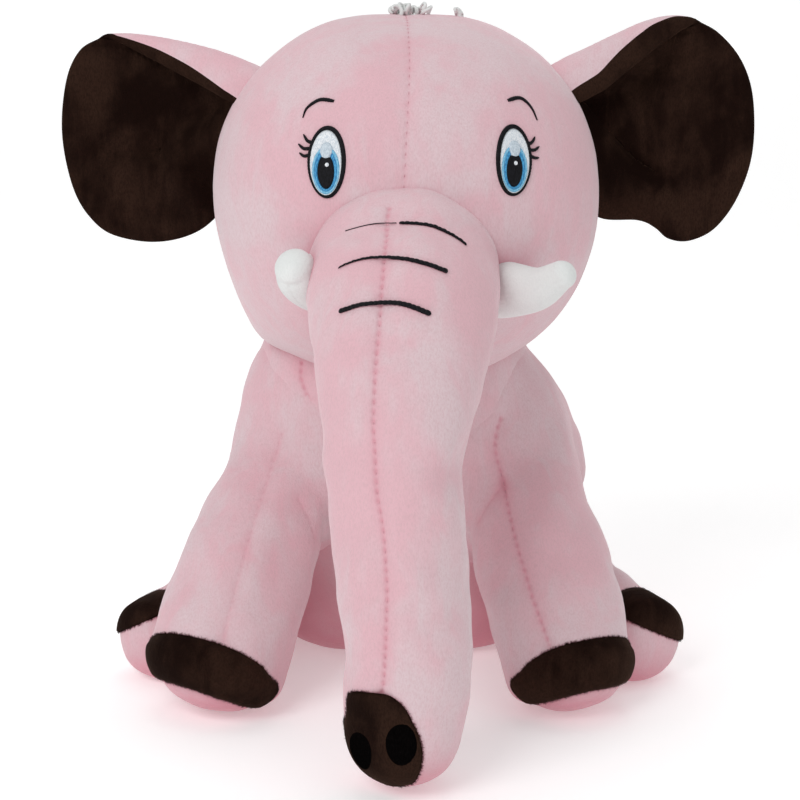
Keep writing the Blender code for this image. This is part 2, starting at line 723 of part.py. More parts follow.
def main():
    clear_scene()
    parts = new_collection("plush_elephant")
    cutters = new_collection("cutters")
    fabrics = {
        "pink": fabric("pink_plush", PINK, 0.9), "brown": fabric("brown_plush", BROWN, 0.95),
        "white": fabric("white_plush", WHITE, 0.9), "black": fabric("black_thread", BLACK, 0.6),
        "blue": fabric("blue_thread", BLUE, 0.5), "fill": fabric("polyester_fill", FILL, 1.0),
    }
    dish = make_head(fabrics, parts, cutters)
    make_trunk(fabrics, parts, cutters)
    sockets = []
    for side, sign in SIDES.items():
        sockets.append(make_leg(
            f"front_leg_{side}", *FRONT_LEGS[side], FRONT_LEG_RADII, FRONT_LEG_FLATNESS, FRONT_FOOT_DEPTH,
            X_AXIS, FRONT_TOE, (-X_AXIS, FRONT_SWING), fabrics, parts, cutters,
        ))
        sockets.append(make_leg(
            f"hind_leg_{side}", *HIND_LEGS[side], HIND_LEG_RADII, 1.0, HIND_FOOT_DEPTH, UP,
            HIND_TOE, (sign * UP, HIND_SPREAD), fabrics, parts, cutters,
        ))
    sockets.append(make_tail(fabrics, parts, cutters))
    make_torso(fabrics, parts, dish, cutters, sockets)


main()
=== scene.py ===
"""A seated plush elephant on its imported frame: sewn plush skins, embroidery, studio light and camera."""

import math

import bmesh
import bpy
import numpy as np
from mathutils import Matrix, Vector

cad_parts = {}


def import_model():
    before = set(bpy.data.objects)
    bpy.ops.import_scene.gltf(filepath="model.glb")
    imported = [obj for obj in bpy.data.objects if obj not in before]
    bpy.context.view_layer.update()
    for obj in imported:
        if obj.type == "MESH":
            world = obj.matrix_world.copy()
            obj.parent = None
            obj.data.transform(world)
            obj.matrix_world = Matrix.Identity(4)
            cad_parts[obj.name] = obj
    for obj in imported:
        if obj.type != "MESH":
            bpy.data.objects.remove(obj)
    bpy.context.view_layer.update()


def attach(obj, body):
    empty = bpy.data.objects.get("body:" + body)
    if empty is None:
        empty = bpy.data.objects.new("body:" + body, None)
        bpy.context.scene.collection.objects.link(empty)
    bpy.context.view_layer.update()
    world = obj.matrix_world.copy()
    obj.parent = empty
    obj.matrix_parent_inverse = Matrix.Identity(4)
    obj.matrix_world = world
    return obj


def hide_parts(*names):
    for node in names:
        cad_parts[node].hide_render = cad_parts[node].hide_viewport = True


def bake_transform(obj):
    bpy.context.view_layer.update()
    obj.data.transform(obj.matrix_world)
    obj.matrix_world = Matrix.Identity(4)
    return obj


SIDES = {"left": 1.0, "right": -1.0}
UP = np.array([0.0, 0.0, 1.0])
ACROSS = np.array([1.0, 0.0, 0.0])

# Shapes, in metres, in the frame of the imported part
HEAD_CENTRE = np.array([0.0, 0.003, 0.2515])
HEAD_RADII = np.array([0.0960, 0.0900, 0.0905])
HEAD_REACH = 0.0920
HEAD_SQUARENESS = 2.15
# Where its stuffing bulges or is short: place, height and spread
HEAD_BULGES = (((-0.073, -0.004, 0.178), 0.0050, 0.021), ((-0.096, 0.000, 0.222), -0.0020, 0.028))

TRUNK_STATIONS = (
    ((-0.0010, -0.0790, 0.2240), 0.0425, 0.0405), ((-0.0015, -0.1030, 0.2095), 0.0415, 0.0370),
    ((-0.0025, -0.1230, 0.1800), 0.0360, 0.0340), ((-0.0038, -0.1335, 0.1480), 0.0312, 0.0300),
    ((-0.0030, -0.1370, 0.1250), 0.0300, 0.0290), ((-0.0008, -0.1400, 0.0950), 0.0297, 0.0285),
    ((0.0005, -0.1415, 0.0600), 0.0290, 0.0278), ((-0.0012, -0.1395, 0.0280), 0.0262, 0.0258),
)
TRUNK_ENDS = (0.0405, 0.0262)

# Height, middle from front to back, half width, half depth and middle from side to side
TORSO_LEVELS = (
    (-0.012, 0.083, 0.045, 0.036, 0.0), (0.000, 0.083, 0.070, 0.058, 0.0), (0.025, 0.083, 0.085, 0.068, 0.0),
    (0.060, 0.077, 0.091, 0.071, 0.001), (0.100, 0.060, 0.0965, 0.070, 0.0035),
    (0.135, 0.040, 0.0880, 0.064, 0.001), (0.165, 0.022, 0.0745, 0.054, -0.0045),
    (0.185, 0.016, 0.056, 0.040, -0.006), (0.195, 0.012, 0.010, 0.008, 0.0),
)

FRONT_LEGS = {
    "left": ((0.0510, 0.0080, 0.1350), (0.0815, -0.0470, 0.0240)),
    "right": ((-0.0560, 0.0080, 0.1350), (-0.0940, -0.0465, 0.0240)),
}
FRONT_LEG_RADII = {
    "left": (0.0215, 0.0285, 0.0338, 0.0350, 0.0328), "right": (0.0224, 0.0282, 0.0332, 0.0356, 0.0341),
}
FRONT_LEG_ENDS = (0.0250, 0.0240)
FRONT_LEG_DEPTH = 0.88
HIND_LEGS = {
    "left": ((0.0700, 0.0850, 0.0370), (0.1205, -0.0085, 0.0205)),
    "right": ((-0.0700, 0.0850, 0.0370), (-0.1295, -0.0040, 0.0190)),
}
HIND_LEG_RADII = {"left": (0.0330, 0.0300, 0.0266, 0.0268), "right": (0.0330, 0.0295, 0.0255, 0.0246)}
HIND_LEG_ENDS = (0.0330, 0.0120)

# How coarse each skin's net is before its seams are drawn in
HEAD_NET = 0.0026
TRUNK_NET = 0.0024
TORSO_NET = 0.0030
LEG_NET = 0.0028
TUSK_NET = 0.0014
TAIL_NET = 0.0013

# Number work on points, as arrays with a row for each


def unit(vectors):
    return vectors / np.maximum(np.linalg.norm(vectors, axis=-1, keepdims=True), 1e-12)


def catmull(values, count):
    """A smooth table of count rows through the values given."""
    values = np.asarray(values, float)
    flat = values.reshape(len(values), -1)
    padded = np.vstack([2 * flat[0] - flat[1], flat, 2 * flat[-1] - flat[-2]])
    place = np.linspace(0, len(flat) - 1, count)
    index = np.minimum(place.astype(int), len(flat) - 2)
    f = (place - index)[:, None]
    a, b, c, d = (padded[index + k] for k in range(4))
    made = 0.5 * (2 * b + (c - a) * f + (2 * a - 5 * b + 4 * c - d) * f**2 + (3 * b - a - 3 * c + d) * f**3)
    return made.reshape((count,) + values.shape[1:])


def smooth_min(a, b, reach):
    share = np.maximum(reach - np.abs(a - b), 0.0) / reach
    return np.minimum(a, b) - share**2 * reach / 4


def smooth_max(a, b, reach):
    return -smooth_min(-a, -b, reach)


def lumps(points, size, seed, waves=14):
    """A soft random field of about unit height whose lumps are about size across."""
    rng = np.random.default_rng(seed)
    ways = unit(rng.normal(size=(waves, 3))) * (math.tau / (2 * size)) * rng.uniform(0.7, 1.3, (waves, 1))
    return np.sin(points @ ways.T + rng.uniform(0, math.tau, waves)).sum(1) * math.sqrt(2 / waves)


def passed_along(line):
    """How much of a line of points has been passed at each of them."""
    return np.concatenate([[0], np.cumsum(np.linalg.norm(np.diff(line, axis=0), axis=1))])


def point_along(line, passed, places):
    return np.stack([np.interp(places, passed, line[:, k]) for k in range(3)], 1)


def distance_along(points, line):
    """How far each point lies from a line of points, and how far along the line that is."""
    starts, steps = line[:-1], np.diff(line, axis=0)
    lengths = np.linalg.norm(steps, axis=1)
    passed = passed_along(line)
    best, along = np.full(len(points), 1e9), np.zeros(len(points))
    for start, step, length, before in zip(starts, steps, lengths, passed):
        share = np.clip((points - start) @ step / length**2, 0, 1)
        away = np.linalg.norm(points - start - share[:, None] * step, axis=1)
        nearer = away < best
        best[nearer] = away[nearer]
        along[nearer] = before + share[nearer] * length
    return best, along


def read_at(table, place):
    """A table's rows at whole and part steps along it."""
    index = np.minimum(place.astype(int), len(table) - 2)
    f = (place - index).reshape(place.shape + (1,) * (table.ndim - 1))
    return table[index] * (1 - f) + table[index + 1] * f


def place_on(points, line, tangent, rounds=4):
    """Where along a smooth line each point lies, in steps of the line."""
    place, best = np.zeros(len(points)), np.full(len(points), 1e9)
    for number, sample in enumerate(line):
        away = ((points - sample) ** 2).sum(1)
        nearer = away < best
        best[nearer] = away[nearer]
        place[nearer] = number
    pace = np.linalg.norm(np.gradient(line, axis=0), axis=1)
    for _ in range(rounds):
        forward = ((points - read_at(line, place)) * read_at(tangent, place)).sum(1)
        place = np.clip(place + 0.8 * forward / read_at(pace, place), 0, len(line) - 1)
    return place


# Fields: functions that are zero on a surface, below zero inside it, and near to a distance


def head_shape(points):
    reach = (np.abs((points - HEAD_CENTRE) / HEAD_RADII) ** HEAD_SQUARENESS).sum(1) ** (1 / HEAD_SQUARENESS)
    value = (reach - 1) * HEAD_RADII.min()
    for place, height, spread in HEAD_BULGES:
        value = value - height * np.exp(-((points - np.array(place)) ** 2).sum(1) / spread**2)
    return value


class Limb:
    """A tube with an oval section about a smooth line, and a rounded end each way."""

    samples = 60

    def __init__(self, points, across, through, ends, side):
        self.line = catmull(points, self.samples)
        self.wide = catmull(across, self.samples)
        self.deep = catmull(through, self.samples)
        self.ends = ends
        self.tangent = unit(np.gradient(self.line, axis=0))
        self.side = unit(side - self.tangent * (self.tangent @ side)[:, None])
        self.normal = np.cross(self.tangent, self.side)

    def field(self, points):
        place = place_on(points, self.line, self.tangent)
        from_line = points - read_at(self.line, place)
        wide, deep = read_at(self.wide, place), read_at(self.deep, place)
        x = (from_line * read_at(self.side, place)).sum(1) / wide
        y = (from_line * read_at(self.normal, place)).sum(1) / deep
        forward = (from_line * read_at(self.tangent, place)).sum(1)
        before = np.where(place <= 0, np.minimum(forward, 0) / self.ends[0], 0.0)
        after = np.where(place >= self.samples - 1, np.maximum(forward, 0) / self.ends[1], 0.0)
        return (np.sqrt(x**2 + y**2 + before**2 + after**2) - 1) * np.minimum(wide, deep)

    def at(self, run, angle):
        """Points near the surface: run from 0 to 1 along the line, angle 0 on the normal's side. From 1 to 2
        the run goes on over the rounded end."""
        run, angle = np.broadcast_arrays(np.asarray(run, float), np.asarray(angle, float))
        place = np.clip(run, 0, 1) * (self.samples - 1)
        round_by = (read_at(self.normal, place) * (np.cos(angle) * read_at(self.deep, place))[..., None]
                    + read_at(self.side, place) * (np.sin(angle) * read_at(self.wide, place))[..., None])
        turn = np.clip(run - 1, 0, 1)[..., None] * math.pi / 2
        along = read_at(self.tangent, place) * np.sin(turn) * self.ends[1]
        return read_at(self.line, place) + round_by * np.cos(turn) + along


def torso_field(points):
    heights, *columns = catmull(TORSO_LEVELS, 120).T
    z = points[:, 2]
    y, a, b, x = (np.interp(z, heights, column) for column in columns)
    reach = np.sqrt(((points[:, 0] - x) / a) ** 2 + ((points[:, 1] - y) / b) ** 2)
    sides = (reach - 1) * np.minimum(a, b)
    return smooth_max(smooth_max(sides, z - heights[-1], 0.012), -z, 0.014)


def lumpy(field, swell, seed):
    """The field with the soft unevenness of stuffing, so that whatever is sewn on follows it too."""

    def uneven(points):
        fine = 0.2 * swell * lumps(points, 0.010, seed + 1)
        return field(points) - swell * lumps(points, 0.030, seed) - fine

    return uneven


def slope(field, points, step=2e-4):
    ways = np.eye(3) * step
    return np.stack([field(points + way) - field(points - way) for way in ways], 1) / (2 * step)


def onto(field, points, rounds=4):
    """The points moved along the field's slope until they lie on its surface."""
    for _ in range(rounds):
        way = slope(field, points)
        move = field(points)[:, None] * way / np.maximum((way**2).sum(1, keepdims=True), 1e-6)
        points = points - np.clip(move, -0.004, 0.004)
    return points


def laid(field, points, lift=0.0):
    """The points put on the field's surface and then lifted off it."""
    points = onto(field, points)
    lift = np.broadcast_to(np.asarray(lift, float), len(points))
    return points + unit(slope(field, points)) * lift[:, None]


# Meshes


def surface_net(field, low, high, step):
    """The closed quad mesh of a field's surface inside a box, as (points, faces)."""
    axes = [np.arange(low[k] - 2 * step, high[k] + 3 * step, step) for k in range(3)]
    grid = np.stack(np.meshgrid(*axes, indexing="ij"), -1)
    value = field(grid.reshape(-1, 3)).reshape(grid.shape[:3])
    cells = tuple(n - 1 for n in value.shape)
    total, hits = np.zeros(cells + (3,)), np.zeros(cells)
    for axis in range(3):
        others = [k for k in range(3) if k != axis]
        for moved in np.ndindex(2, 2):
            corner = [slice(0, n) for n in cells]
            for other, by in zip(others, moved):
                corner[other] = slice(by, by + cells[other])
            ahead = list(corner)
            ahead[axis] = slice(1, 1 + cells[axis])
            a, b = value[tuple(corner)], value[tuple(ahead)]
            crossed = (a < 0) != (b < 0)
            share = np.where(crossed, a / np.where(crossed, a - b, 1), 0)
            point = grid[tuple(corner)].copy()
            point[..., axis] += share * step
            total += point * crossed[..., None]
            hits += crossed
    number = np.full(cells, -1)
    mixed = hits > 0
    number[mixed] = np.arange(mixed.sum())
    points = total[mixed] / hits[mixed][:, None]
    faces = []
    inside = value < 0
    for axis in range(3):
        u, v = (axis + 1) % 3, (axis + 2) % 3
        spans = [slice(1, n - 1) for n in value.shape]
        spans[axis] = slice(0, value.shape[axis] - 1)
        a = inside[tuple(spans)]
        spans[axis] = slice(1, value.shape[axis])
        b = inside[tuple(spans)]
        spots = np.argwhere(a != b)
        leaves = a[tuple(spots.T)]
        spots[:, u] += 1
        spots[:, v] += 1
        ring = []
        for du, dv in ((-1, -1), (0, -1), (0, 0), (-1, 0)):
            cell = spots.copy()
            cell[:, u] += du
            cell[:, v] += dv
            ring.append(number[tuple(cell.T)])
        ring = np.stack(ring, 1)
        ring[~leaves] = ring[~leaves][:, ::-1]
        faces.append(ring)
    return points, np.concatenate(faces)


def evened(field, points, faces, rounds=4):
    """The mesh relaxed along its surface, so that its quads are even."""
    ends = np.concatenate([faces[:, [k, (k + 1) % 4]] for k in range(4)])
    for _ in range(rounds):
        count = np.bincount(ends[:, 0], minlength=len(points))[:, None]
        total = np.stack([np.bincount(ends[:, 0], points[ends[:, 1], k], len(points)) for k in range(3)], 1)
        points = onto(field, points + 0.5 * (total / count - points), 2)
    return points


def mesh_object(name, points, faces, materials=()):
    mesh = bpy.data.meshes.new(name)
    mesh.from_pydata(np.asarray(points).tolist(), [], [list(map(int, face)) for face in faces])
    for material in materials:
        mesh.materials.append(material)
    mesh.validate()
    mesh.shade_smooth()
    made = bpy.data.objects.new(name, mesh)
    bpy.context.scene.collection.objects.link(made)
    return made


SEAM_WIDTH = 0.0010
PUCKER_WIDTH = 0.0050
DEEPEST_SEAM = 0.0020


class Seam:
    """A sewn line: the cloth dips to it, puckers beside it, and its stitches lie in the dip."""

    def __init__(self, line, depth=0.0009, valley=0.0008, pitch=0.0044):
        self.line = line
        self.depth = depth
        self.valley = valley
        self.pitch = pitch

    def dip(self, points):
        away, along = distance_along(points, self.line)
        beat = np.cos(along / self.pitch * math.tau)
        narrow = self.depth * (0.7 + 0.3 * beat) * np.exp(-((away / SEAM_WIDTH) ** 2))
        broad = self.valley * np.exp(-((away / PUCKER_WIDTH) ** 2))
        return narrow + broad


def sewn_skin(name, field, box, step, seams, material):
    """A plush skin from a field, with its seams drawn in and a finer mesh beside each seam."""
    points, faces = surface_net(field, *box, step)
    points = evened(field, points, faces)
    form = bmesh.new()
    made = [form.verts.new(point) for point in points]
    for face in faces:
        form.faces.new([made[k] for k in face])
    for reach in (0.0075, 0.0040):
        places = np.array([vertex.co for vertex in form.verts])
        away = np.min([distance_along(places, seam.line)[0] for seam in seams], axis=0)
        near = dict(zip(form.verts, away < reach))
        edges = [edge for edge in form.edges if near[edge.verts[0]] and near[edge.verts[1]]]
        bmesh.ops.subdivide_edges(form, edges=edges, cuts=1, use_grid_fill=True)
    form.verts.index_update()
    points = onto(field, np.array([vertex.co for vertex in form.verts]), 2)
    faces = [[vertex.index for vertex in face.verts] for face in form.faces]
    form.free()
    out = unit(slope(field, points))
    dips = sum(seam.dip(points) for seam in seams)
    points = points - out * dips[:, None]
    points[:, 2] = np.maximum(points[:, 2], 0.0002)
    skin = mesh_object(name, points, faces, [material])
    sewn = skin.data.attributes.new("sewn", "FLOAT", "POINT")
    sewn.data.foreach_set("value", np.clip(dips / DEEPEST_SEAM, 0, 1).astype(np.float32))
    return skin


# The filling: the cloth's net, how long it is simulated, how far inside the skin it starts, how much cloth
# there is to spare and how hard the stuffing presses
CLOTH_STEP = 0.0060
CLOTH_FRAMES = 20
CLOTH_START = 0.0015
CLOTH_FULLNESS = 0.05
PRESSURE = 4.0
# How far from the cloth its rise is felt, and how widely each of its points is spread
RISE_REACH = 0.016
RISE_SPREAD = 0.0045
RISE_CAP = 0.0025
HEAD_RISE_CAP = 0.0015


def stuffed(field, low, high, lines, cap=RISE_CAP):
    """The field of a skin that is sewn at its seams and then filled: a cloth simulation with pressure inside.
    How far the cloth rises off the first surface is spread over a grid, so whatever is sewn on follows it."""
    points, faces = surface_net(field, low, high, CLOTH_STEP)
    points = evened(field, points, faces)
    sewn = np.min([distance_along(points, line)[0] for line in lines], axis=0) < CLOTH_STEP * 0.7
    resting = points[:, 2] < 0.003
    cloth = mesh_object("cloth_being_filled", points - unit(slope(field, points)) * CLOTH_START, faces)
    cloth.vertex_groups.new(name="sewn").add(np.flatnonzero(sewn | resting).tolist(), 1.0, "REPLACE")
    modifier = cloth.modifiers.new("filling", "CLOTH")
    modifier.settings.vertex_group_mass = "sewn"
    modifier.settings.use_pressure = True
    modifier.settings.uniform_pressure_force = PRESSURE
    modifier.settings.effector_weights.gravity = 0.0
    modifier.settings.shrink_min = -CLOTH_FULLNESS
    modifier.point_cache.frame_end = CLOTH_FRAMES
    scene = bpy.context.scene
    for frame in range(1, CLOTH_FRAMES + 1):
        scene.frame_set(frame)
    moved = cloth.evaluated_get(bpy.context.evaluated_depsgraph_get()).data
    places = np.array([vertex.co for vertex in moved.vertices])
    scene.frame_set(1)
    mesh = cloth.data
    bpy.data.objects.remove(cloth)
    bpy.data.meshes.remove(mesh)
    rise = field(places)
    rise = np.clip(rise - np.median(rise[~(sewn | resting)]), -cap, cap)
    rise[resting] = 0.0
    return risen(field, points, rise, low, high)


def risen(field, points, rise, low, high):
    """A field moved out by rise at the points given, blended between them."""
    axes = [np.arange(low[k] - 0.012, high[k] + 0.018, CLOTH_STEP) for k in range(3)]
    grid = np.stack(np.meshgrid(*axes, indexing="ij"), -1)
    nodes = grid.reshape(-1, 3)
    table = np.zeros(len(nodes))
    near = np.flatnonzero(np.abs(field(nodes)) < RISE_REACH)
    for some in np.array_split(near, max(1, len(near) // 2000)):
        square = ((nodes[some, None] - points[None]) ** 2).sum(2)
        share = np.exp(-square / (2 * RISE_SPREAD**2)) + 1e-12 / (square + 1e-6)
        table[some] = share @ rise / share.sum(1)
    table = table.reshape(grid.shape[:3])
    first = np.array([axis[0] for axis in axes])

    def moved(places):
        cell = (places - first) / CLOTH_STEP
        cell = np.clip(cell, 0, np.array(table.shape) - 1.001)
        low_cell = cell.astype(int)
        f = cell - low_cell
        total = np.zeros(len(places))
        for corner in np.ndindex(2, 2, 2):
            share = np.prod(np.where(corner, f, 1 - f), axis=1)
            total += share * table[tuple((low_cell + corner).T)]
        return field(places) - total

    return moved


def tube(line, radii, sides=8, flat=1.0, out=None):
    """(points, faces) of a closed tube along a line, flattened along the directions in out."""
    line = np.asarray(line, float)
    radii = np.broadcast_to(np.asarray(radii, float), len(line))
    tangent = unit(np.gradient(line, axis=0))
    out = unit(np.cross(tangent, UP + 0.01 * ACROSS)) if out is None else unit(out)
    out = unit(out - tangent * (out * tangent).sum(1)[:, None])
    side = np.cross(tangent, out)
    angles = np.arange(sides) * math.tau / sides
    ring = (side[:, None] * np.cos(angles)[None, :, None]
            + out[:, None] * (flat * np.sin(angles))[None, :, None]) * radii[:, None, None]
    points = (line[:, None] + ring).reshape(-1, 3)
    faces = []
    for i in range(len(line) - 1):
        for j in range(sides):
            k = (j + 1) % sides
            faces.append((i * sides + j, i * sides + k, (i + 1) * sides + k, (i + 1) * sides + j))
    faces.append(tuple(range(sides))[::-1])
    faces.append(tuple((len(line) - 1) * sides + j for j in range(sides)))
    return points, faces


def joined(shapes):
    points, faces, before = [], [], 0
    for some, their in shapes:
        points.append(some)
        faces += [tuple(k + before for k in face) for face in their]
        before += len(some)
    return np.concatenate(points), faces


def thread_stitches(name, field, line, material, pitch, length=0.0020, radius=0.00020, depth=0.0014):
    """Short stitches of thread that lie in a seam's dip."""
    passed = passed_along(line)
    shapes = []
    for middle in np.arange(pitch / 2, passed[-1] - pitch / 2, pitch):
        spine = point_along(line, passed, middle + np.linspace(-0.5, 0.5, 5) * length)
        sink = -depth - 0.0005 * np.abs(np.linspace(-1, 1, 5)) ** 3
        spine = laid(field, spine, sink)
        shapes.append(tube(spine, radius * np.array([0.5, 1, 1.05, 1, 0.5]), 6, out=slope(field, spine)))
    return mesh_object(name, *joined(shapes), [material])


# Materials


class Nodes:
    """A material's node tree, with short ways to add nodes and links."""

    def __init__(self, name):
        self.material = bpy.data.materials.new(name)
        self.material.use_nodes = True
        self.tree = self.material.node_tree
        self.shader = self.tree.nodes["Principled BSDF"]
        self.place = self.add("ShaderNodeTexCoord").outputs["Object"]

    def add(self, kind, **settings):
        node = self.tree.nodes.new(kind)
        for key, value in settings.items():
            setattr(node, key, value)
        return node

    def link(self, source, target):
        self.tree.links.new(source, target)

    def scaled(self, scale):
        node = self.add("ShaderNodeVectorMath", operation="MULTIPLY")
        self.link(self.place, node.inputs[0])
        node.inputs[1].default_value = scale
        return node.outputs[0]

    def noise(self, scale, detail=2.0, roughness=0.5, distortion=0.0, place=None):
        node = self.add("ShaderNodeTexNoise")
        self.link(place or self.place, node.inputs["Vector"])
        node.inputs["Scale"].default_value = scale
        node.inputs["Detail"].default_value = detail
        node.inputs["Roughness"].default_value = roughness
        node.inputs["Distortion"].default_value = distortion
        return node.outputs["Fac"]

    def ranged(self, value, low, high, to_low=0.0, to_high=1.0):
        node = self.add("ShaderNodeMapRange", interpolation_type="SMOOTHSTEP")
        self.link(value, node.inputs["Value"])
        for key, number in (("From Min", low), ("From Max", high), ("To Min", to_low), ("To Max", to_high)):
            node.inputs[key].default_value = number
        return node.outputs["Result"]

    def mixed(self, share, a, b):
        node = self.add("ShaderNodeMix", data_type="RGBA")
        self.link(share, node.inputs["Factor"])
        for socket, value in ((node.inputs[6], a), (node.inputs[7], b)):
            if isinstance(value, tuple):
                socket.default_value = (*value, 1.0)
            else:
                self.link(value, socket)
        return node.outputs[2]

    def bumped(self, height, strength, distance, before=None):
        node = self.add("ShaderNodeBump")
        self.link(height, node.inputs["Height"])
        node.inputs["Strength"].default_value = strength
        node.inputs["Distance"].default_value = distance
        if before:
            self.link(before, node.inputs["Normal"])
        return node.outputs["Normal"]

    def set(self, **values):
        for key, value in values.items():
            self.shader.inputs[key.replace("_", " ")].default_value = value


def plush(name, colours, sheen, sheen_tint, patch=16.0, gloss=0.12, shade=None):
    """Short pile: patches where the nap lies the other way, fine fibres, a deeper colour where a seam
    presses it, and the soft edge light of velvet. The colours are the nap's two, then the fibres' and the
    pressed one; shade is the painted shade colour that hollows turn to."""
    deep, pale, fibre_dark, pressed = colours
    nodes = Nodes(name)
    patches = nodes.noise(patch, 3.0, 0.55, 0.6)
    strokes = nodes.noise(1.0, 3.0, 0.6, 0.8, nodes.scaled((95.0, 95.0, 30.0)))
    nap = nodes.add("ShaderNodeMath", operation="MULTIPLY_ADD")
    nodes.link(strokes, nap.inputs[0])
    nap.inputs[1].default_value = 0.45
    nodes.link(patches, nap.inputs[2])
    colour = nodes.mixed(nodes.ranged(nap.outputs[0], 0.58, 0.90), deep, pale)
    fibres = nodes.noise(1.0, 2.0, 0.6, 0.0, nodes.scaled((1500.0, 1500.0, 600.0)))
    tufts = nodes.noise(420.0, 3.0, 0.65, 0.4)
    colour = nodes.mixed(nodes.ranged(fibres, 0.62, 0.30, 0.0, 0.45), colour, fibre_dark)
    sewn = nodes.add("ShaderNodeAttribute", attribute_name="sewn").outputs["Fac"]
    colour = nodes.mixed(nodes.ranged(sewn, 0.1, 1.0, 0.0, 0.75), colour, pressed)
    if shade:
        # Painted shade: where ambient occlusion finds a hollow, the base colour turns to the deeper shade
        # colour, standing in for light that goes from pile to pile there
        hollow = nodes.add("ShaderNodeAmbientOcclusion", samples=6)
        hollow.inputs["Distance"].default_value = 0.06
        colour = nodes.mixed(nodes.ranged(hollow.outputs["AO"], 0.15, 0.80), shade, colour)
    nodes.link(colour, nodes.shader.inputs["Base Color"])
    relief = nodes.bumped(patches, 0.25, 0.004)
    relief = nodes.bumped(tufts, 0.45, 0.0006, relief)
    relief = nodes.bumped(fibres, 0.55, 0.0004, relief)
    nodes.link(relief, nodes.shader.inputs["Normal"])
    nodes.set(Roughness=0.95, Specular_IOR_Level=gloss, Sheen_Weight=sheen, Sheen_Roughness=0.42,
              Sheen_Tint=(*sheen_tint, 1.0))
    return nodes.material


def thread(name, colour, dark, roughness=0.5, shine=0.35):
    """Embroidery thread, with fine twisted strands and the soft gloss of rayon."""
    nodes = Nodes(name)
    strands = nodes.noise(1.0, 2.0, 0.5, 0.3, nodes.scaled((2600.0, 2600.0, 500.0)))
    shown = nodes.mixed(nodes.ranged(strands, 0.38, 0.62), dark, colour)
    nodes.link(shown, nodes.shader.inputs["Base Color"])
    nodes.link(nodes.bumped(strands, 0.5, 0.0003), nodes.shader.inputs["Normal"])
    nodes.set(Roughness=roughness, Specular_IOR_Level=shine, Sheen_Weight=0.2 * shine, Sheen_Roughness=0.4)
    return nodes.material


PINKS = ((0.745, 0.465, 0.515), (0.715, 0.560, 0.592), (0.62, 0.41, 0.44), (0.68, 0.31, 0.37))
# Painted shade: the deeper pink that the pink plush's hollows turn to
PINK_SHADE = (0.66, 0.27, 0.33)
BROWNS = ((0.0090, 0.0036, 0.0025), (0.030, 0.0145, 0.0095), (0.006, 0.0028, 0.0020), (0.008, 0.004, 0.003))
WHITES = ((0.76, 0.78, 0.77), (0.83, 0.845, 0.835), (0.70, 0.72, 0.71), (0.70, 0.71, 0.70))


def make_materials():
    return {
        "pink": plush("pink_plush_pile", PINKS, 0.50, (1.0, 0.95, 0.96), shade=PINK_SHADE),
        "brown": plush("brown_plush_pile", BROWNS, 0.07, (0.50, 0.28, 0.18), 22.0, 0.04),
        "white": plush("white_plush_pile", WHITES, 0.30, (1.0, 1.0, 1.0)),
        "black": thread("black_embroidery", (0.007, 0.007, 0.010), (0.002, 0.002, 0.003), 0.6, 0.15),
        "nostril": thread("nostril_felt", (0.0030, 0.0024, 0.0024), (0.0015, 0.0012, 0.0012), 1.0, 0.0),
        "white_thread": thread("white_embroidery", (0.86, 0.88, 0.90), (0.60, 0.66, 0.72)),
        "grey_thread": thread("pale_grey_embroidery", (0.62, 0.70, 0.76), (0.45, 0.53, 0.60)),
        "blue": thread("blue_embroidery", (0.075, 0.38, 0.66), (0.020, 0.17, 0.40)),
        "light_blue": thread("light_blue_embroidery", (0.28, 0.60, 0.80), (0.12, 0.40, 0.62)),
        "pink_thread": thread("pink_seam_thread", (0.66, 0.38, 0.42), (0.54, 0.29, 0.33), 0.8, 0.1),
    }


# Pieces


def way_of(turn, height):
    """Directions, with turn and height in degrees from straight ahead."""
    turn, height = np.radians(turn), np.radians(height)
    ways = np.sin(turn) * np.cos(height), -np.cos(turn) * np.cos(height), np.sin(height)
    return np.stack(np.broadcast_arrays(*ways), -1)


def head_at(turn, height, field):
    """Points on the head in those directions from its centre."""
    return laid(field, HEAD_CENTRE + way_of(turn, height).reshape(-1, 3) * HEAD_REACH)


def level_axes(way):
    """The level direction toward +X and the upward one, both square to way."""
    across = unit(np.cross(UP, way))
    across = across * np.sign(across[0])
    up = np.cross(across, way)
    return across, up * np.sign(up[2])


def make_head(m):
    plain = lumpy(head_shape, 0.0003, 11)
    low, high = HEAD_CENTRE - HEAD_RADII, HEAD_CENTRE + HEAD_RADII
    down = np.concatenate([np.linspace(-62, 90, 60), np.linspace(92, 242, 60)])
    turn = np.interp(down, [0, 18, 50, 90, 100], [-1.2, -0.2, 1.6, 2.0, 0.0])
    front = down <= 90
    line = head_at(np.where(front, turn, 180 - turn), np.where(front, down, 180 - down), plain)
    field = stuffed(plain, low, high, [line], HEAD_RISE_CAP)
    line = onto(field, line)
    seams = [Seam(line, 0.0005, 0.0006, 0.0050)]
    head = sewn_skin("head_plush", field, (low, high), HEAD_NET, seams, m["pink"])
    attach(head, "head")
    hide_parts("head_skin_left", "head_skin_right", "head_stuffing")
    stitches = thread_stitches(
        "head_seam_stitches", field, line[22:100], m["pink_thread"], 0.0050, 0.0022, 0.00022, 0.0009)
    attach(stitches, "head")
    return field


def rings_of(edge, middle, count):
    """Rings of points from the middle of an outline out to its edge, with the middle itself first."""
    return [middle[None]] + [middle + (edge - middle) * share for share in np.linspace(0, 1, count + 1)[1:]]


def fan_faces(count, rings):
    """Faces between rings of count points, closed to one point in the middle."""
    faces = []
    for j in range(count):
        k = (j + 1) % count
        faces.append((0, 1 + j, 1 + k))
        for ring in range(rings - 1):
            a = 1 + ring * count
            faces.append((a + j, a + count + j, a + count + k, a + k))
    return faces


